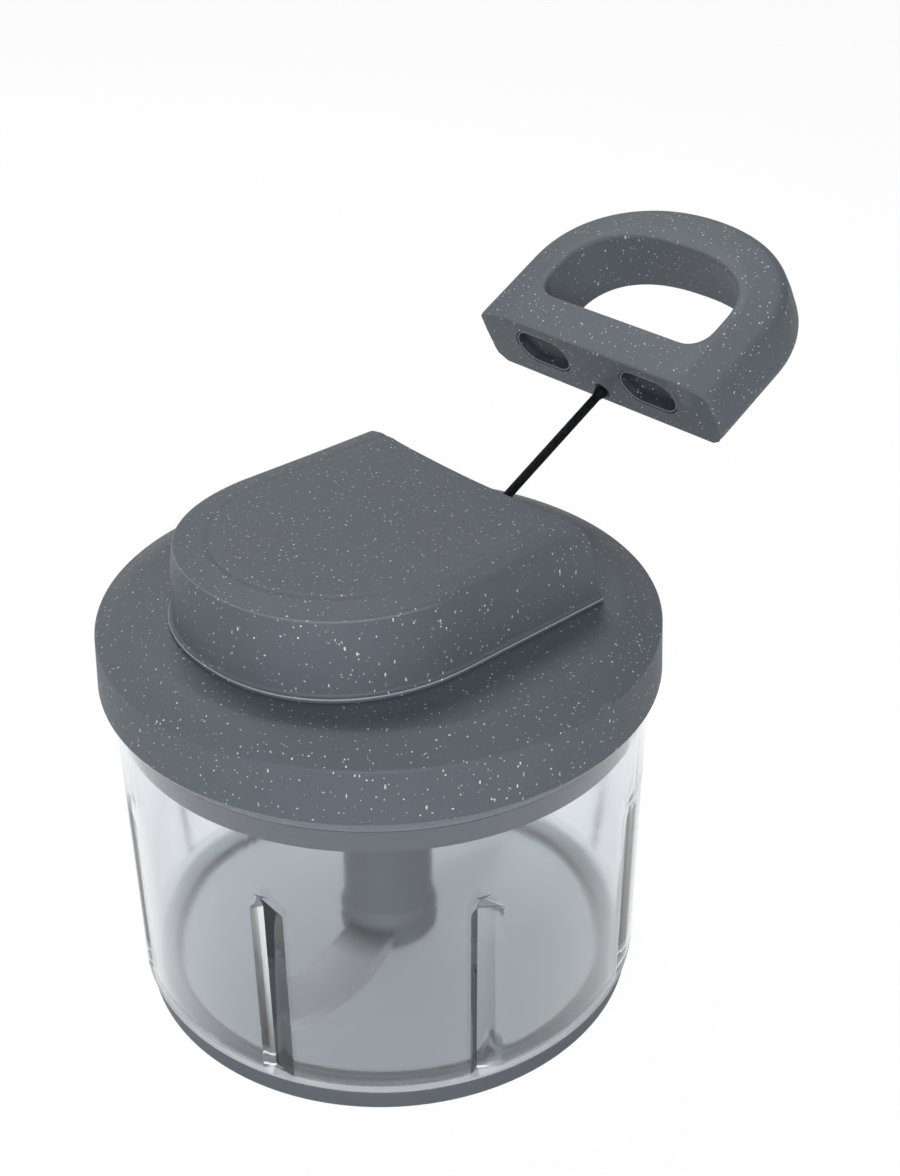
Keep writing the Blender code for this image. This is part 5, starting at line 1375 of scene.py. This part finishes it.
def mark_ovals(mesh):
    """Marks a painted highlight on the fine rim and painted shade on the floor of both ovals for the finish."""
    rim = mesh.attributes.new("painted_edge_highlight", "FLOAT", "POINT")
    floor = mesh.attributes.new("painted_recess_shade", "FLOAT", "POINT")
    for i, vert in enumerate(mesh.vertices):
        x, y, z = vert.co
        across, up = abs(abs(x) - STUD_SPACING / 2) - OVAL_RIM, abs(z - STUD_RISE) - OVAL_RIM
        if across < OVAL_WIDTH / 2 and up < OVAL_HEIGHT / 2 and y < OVAL_DEPTH + CLEARANCE:
            on_rim = OVAL_RIM_DROP / 2 < y < OVAL_RIM_DROP + OVAL_RIM / 2
            rim.data[i].value = OVAL_RIM_GLEAM if on_rim else 0.0
            floor.data[i].value = 1.0 if y > OVAL_RIM_DROP + OVAL_RIM / 4 else 0.0


def pull_handle(finish):
    """The D-shaped handle with its finger hole, its two oval recesses and the cord's mouth."""
    shape = bmesh.new()
    rings = [add_ring(shape, loop) for loop in handle_loops()]
    skin_rings(shape, rings, loop_shut=True)
    piece = shape_piece("grip_moulding", shape, finish, "handle", ["pull_handle"])
    outer = OVAL_GAP + OVAL_RIM
    levels = [(-OVERRUN, outer), (OVAL_GAP_DEPTH, outer), (OVAL_GAP_DEPTH, OVAL_RIM)]
    for i in range(2 * FILLET_STEPS + 1):
        turn = pi * i / (2 * FILLET_STEPS)
        levels.append((OVAL_RIM_DROP + OVAL_RIM / 2 * (1 - sin(turn)), OVAL_RIM / 2 * (1 + cos(turn))))
    levels.append((OVAL_DEPTH, 0))
    for side in (-1, 1):
        recess = oval_stack(OVAL_WIDTH, OVAL_HEIGHT, levels, (side * STUD_SPACING / 2, STUD_RISE), Matrix())
        cut(piece, stack_shape(recess), "oval_recess")
    hole, pocket = CORD_DIAMETER / 2 + CLEARANCE, HOLE_START - KNOT_POCKET_DEPTH
    profile = [
        (0, -OVERRUN),
        (HANDLE_MOUTH_RADIUS + OVERRUN, -OVERRUN),
        (HANDLE_MOUTH_RADIUS, 0),
        (hole, HANDLE_MOUTH_DEPTH),
        (hole, pocket),
        (KNOT_RADIUS + CLEARANCE, pocket),
        (KNOT_RADIUS + CLEARANCE, HOLE_START + OVERRUN),
        (0, HOLE_START + OVERRUN),
    ]
    matrix = Matrix.Translation((0, 0, -HANDLE_CORD_DROP)) @ ALONG_Y
    cut(piece, turned_shape(profile, SMALL_TURN_STEPS, matrix), "cord_bore")
    mark_ovals(piece.data)
    piece.data.transform(handle_matrix())
    settle(piece)


# Cord

def cord_tube(start, end, swollen):
    """A round cord along the cord line with square ends. Its map runs round it and along it."""
    line = cord_matrix()
    count = round((end - start) / CORD_RING_SPACING)
    stations = [start + (end - start) * i / count for i in range(count + 1)]
    shape = bmesh.new()
    seam_map = shape.loops.layers.uv.new("cord_map")
    rings = []
    for along in stations:
        radius = CORD_DIAMETER / 2
        if swollen:
            at_mouth = 1 - abs(along - FACE_DISTANCE + CORD_SWELL_PLACE) / CORD_SWELL_REACH
            radius += CORD_SWELL * smooth(at_mouth) - CLEARANCE / 6
        rings.append(add_ring(shape, [line @ Vector((x, along, z)) for x, z in circle(radius, CORD_SIDES)]))
    for i, (low, high) in enumerate(zip(rings, rings[1:])):
        for k in range(CORD_SIDES):
            j = (k + 1) % CORD_SIDES
            face = shape.faces.new([low[k], low[j], high[j], high[k]])
            corners = ((k, i), (k + 1, i), (k + 1, i + 1), (k, i + 1))
            for loop, (across, up) in zip(face.loops, corners):
                loop[seam_map].uv = (across / CORD_SIDES, (stations[up] - start) / BRAID_PITCH)
    shape.faces.new(rings[0])
    shape.faces.new(rings[-1])
    return shape, [line @ Vector((0, along, 0)) for along in stations]


def cord_piece(name, start, end, finish, stands_for, swollen=False):
    """A stretch of cord that runs from one body to the next across their joint."""
    shape, path = cord_tube(start, end, swollen)
    piece = new_object(name, mesh_from(name, shape, CORD_SHARP_ANGLE))
    piece.data.materials.append(finish["material"])
    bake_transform(piece)
    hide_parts(*stands_for)
    return piece, path


def cords(finish):
    """The free cord from the eye to the bar, and its run from the bar's mouth to the knot.
    """
    entry = FACE_DISTANCE + CORD_ENTRY
    knot = FACE_DISTANCE + HOLE_START - KNOT_POCKET_DEPTH
    free, path = cord_piece(
        "free_cord", CORD_START, entry, finish, ["cord_in_eyelet", "pull_cord"]
    )
    swell = FACE_DISTANCE - CORD_SWELL_PLACE - CORD_SWELL_REACH
    bodies, stands_for = ("cord_run", "handle"), ["cord_in_handle"]
    cord_piece("cord_run_in_bar", swell - CORD_OVERLAP, knot, finish, stands_for, swollen=True)


# Nodes of the frame that keep their own shape

def inner_nodes(finishes):
    """The mechanism's own pieces keep the frame's shapes and get their finishes."""
    kept = {
        "steel": ["pivot_pin", "axle_pin", "thrust_washer", "power_spring", "pawl_spring_1", "pawl_spring_2"],
        "white": ["hub_bush", "shaft_bush", "cord_spool", "spring_cover", "pawl_1", "pawl_2", "drive_coupler"],
        "wound": ["cord_winding", "cord_lead", "cord_knot"],
    }
    for finish, nodes in kept.items():
        for node in nodes:
            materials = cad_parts[node].data.materials
            materials.clear()
            materials.append(finishes[finish]["material"])


# Set

def seen_ray(nodes):
    """1 for rays that show the set: to the camera, in a gloss, or through the clear bowl."""
    path = nodes.add("ShaderNodeLightPath")
    seen = nodes.math("MAXIMUM", path.outputs["Is Camera Ray"], path.outputs["Is Glossy Ray"])
    return nodes.math("MAXIMUM", seen, path.outputs["Is Transmission Ray"])


def add_floor():
    """A plain pale floor that is nearly white wherever it is seen, and keeps a faint shadow."""
    shape = bmesh.new()
    bmesh.ops.create_grid(shape, x_segments=1, y_segments=1, size=FLOOR_SIZE)
    mesh = bpy.data.meshes.new("floor")
    shape.to_mesh(mesh)
    shape.free()
    made = bpy.data.materials.new("pale_floor")
    made.use_nodes = True
    made.node_tree.nodes.clear()
    nodes = Nodes(made.node_tree)
    matt = nodes.add("ShaderNodeBsdfDiffuse", Color=(*FLOOR_COLOUR, 1))
    glow = nodes.add("ShaderNodeEmission", Strength=FLOOR_GLOW)
    joined = nodes.mix_shaders(nodes.times(seen_ray(nodes), FLOOR_GLOW_SHARE), matt, glow)
    nodes.link(joined.outputs[0], nodes.add("ShaderNodeOutputMaterial").inputs[0])
    mesh.materials.append(made)
    new_object("floor", mesh)


def add_world():
    world = bpy.data.worlds.new("studio")
    world.use_nodes = True
    world.node_tree.nodes.clear()
    nodes = Nodes(world.node_tree)
    background = nodes.add("ShaderNodeBackground")
    extra = nodes.times(seen_ray(nodes), 1 - WORLD_LIGHT)
    nodes.link(nodes.math("ADD", extra, WORLD_LIGHT), background.inputs["Strength"])
    nodes.link(background.outputs[0], nodes.add("ShaderNodeOutputWorld").inputs[0])
    bpy.context.scene.world = world


def add_lamp(name, place, aim, size, watts):
    lamp = bpy.data.lights.new(name, "AREA")
    lamp.shape = "DISK"
    lamp.size = size
    lamp.energy = watts
    holder = new_object(name, lamp)
    holder.location = place
    holder.rotation_euler = (Vector(aim) - Vector(place)).to_track_quat("-Z", "Y").to_euler()


def add_camera():
    camera = bpy.data.cameras.new("camera")
    camera.sensor_fit = "VERTICAL"
    camera.sensor_height = SENSOR_HEIGHT_MM
    camera.lens = CAMERA_LENS_MM
    camera.clip_start = 0.01
    holder = new_object("camera", camera)
    place, aim = Vector(CAMERA_PLACE), Vector(CAMERA_AIM)
    level = (aim - place).to_track_quat("-Z", "Y").to_matrix().to_4x4()
    holder.matrix_world = Matrix.Translation(place) @ level @ Matrix.Rotation(radians(CAMERA_ROLL), 4, "Z")
    bpy.context.scene.camera = holder


def main():
    add_camera()
    add_floor()
    add_world()
    for lamp in LAMPS:
        add_lamp(*lamp)
    finishes = make_finishes()
    cords(finishes["cord"])
    base_ring(finishes["rubber"])
    foot_highlight_sheet(finishes["white"])
    bowl(finishes["clear"])
    blade_hub(finishes["inner"])
    blade("lower_cutter", "lower_blade", LOWER_BLADE_ANGLE, finishes["blade"])
    blade("upper_cutter", "upper_blade", UPPER_BLADE_ANGLE, finishes["blade"])
    lid_disc(finishes["slate"])
    inner_cover(finishes["inner"])
    lid_seal(finishes["rubber"])
    screws(finishes["steel"])
    dome_cover(finishes["slate"])
    for number, side in enumerate((-1, 1), 1):
        docking_stud(number, side, finishes["rubber"])
    cord_eyelet(finishes["steel"])
    pull_handle(finishes["slate"])
    inner_nodes(finishes)
    bpy.context.scene.view_settings.view_transform = "Standard"


main()
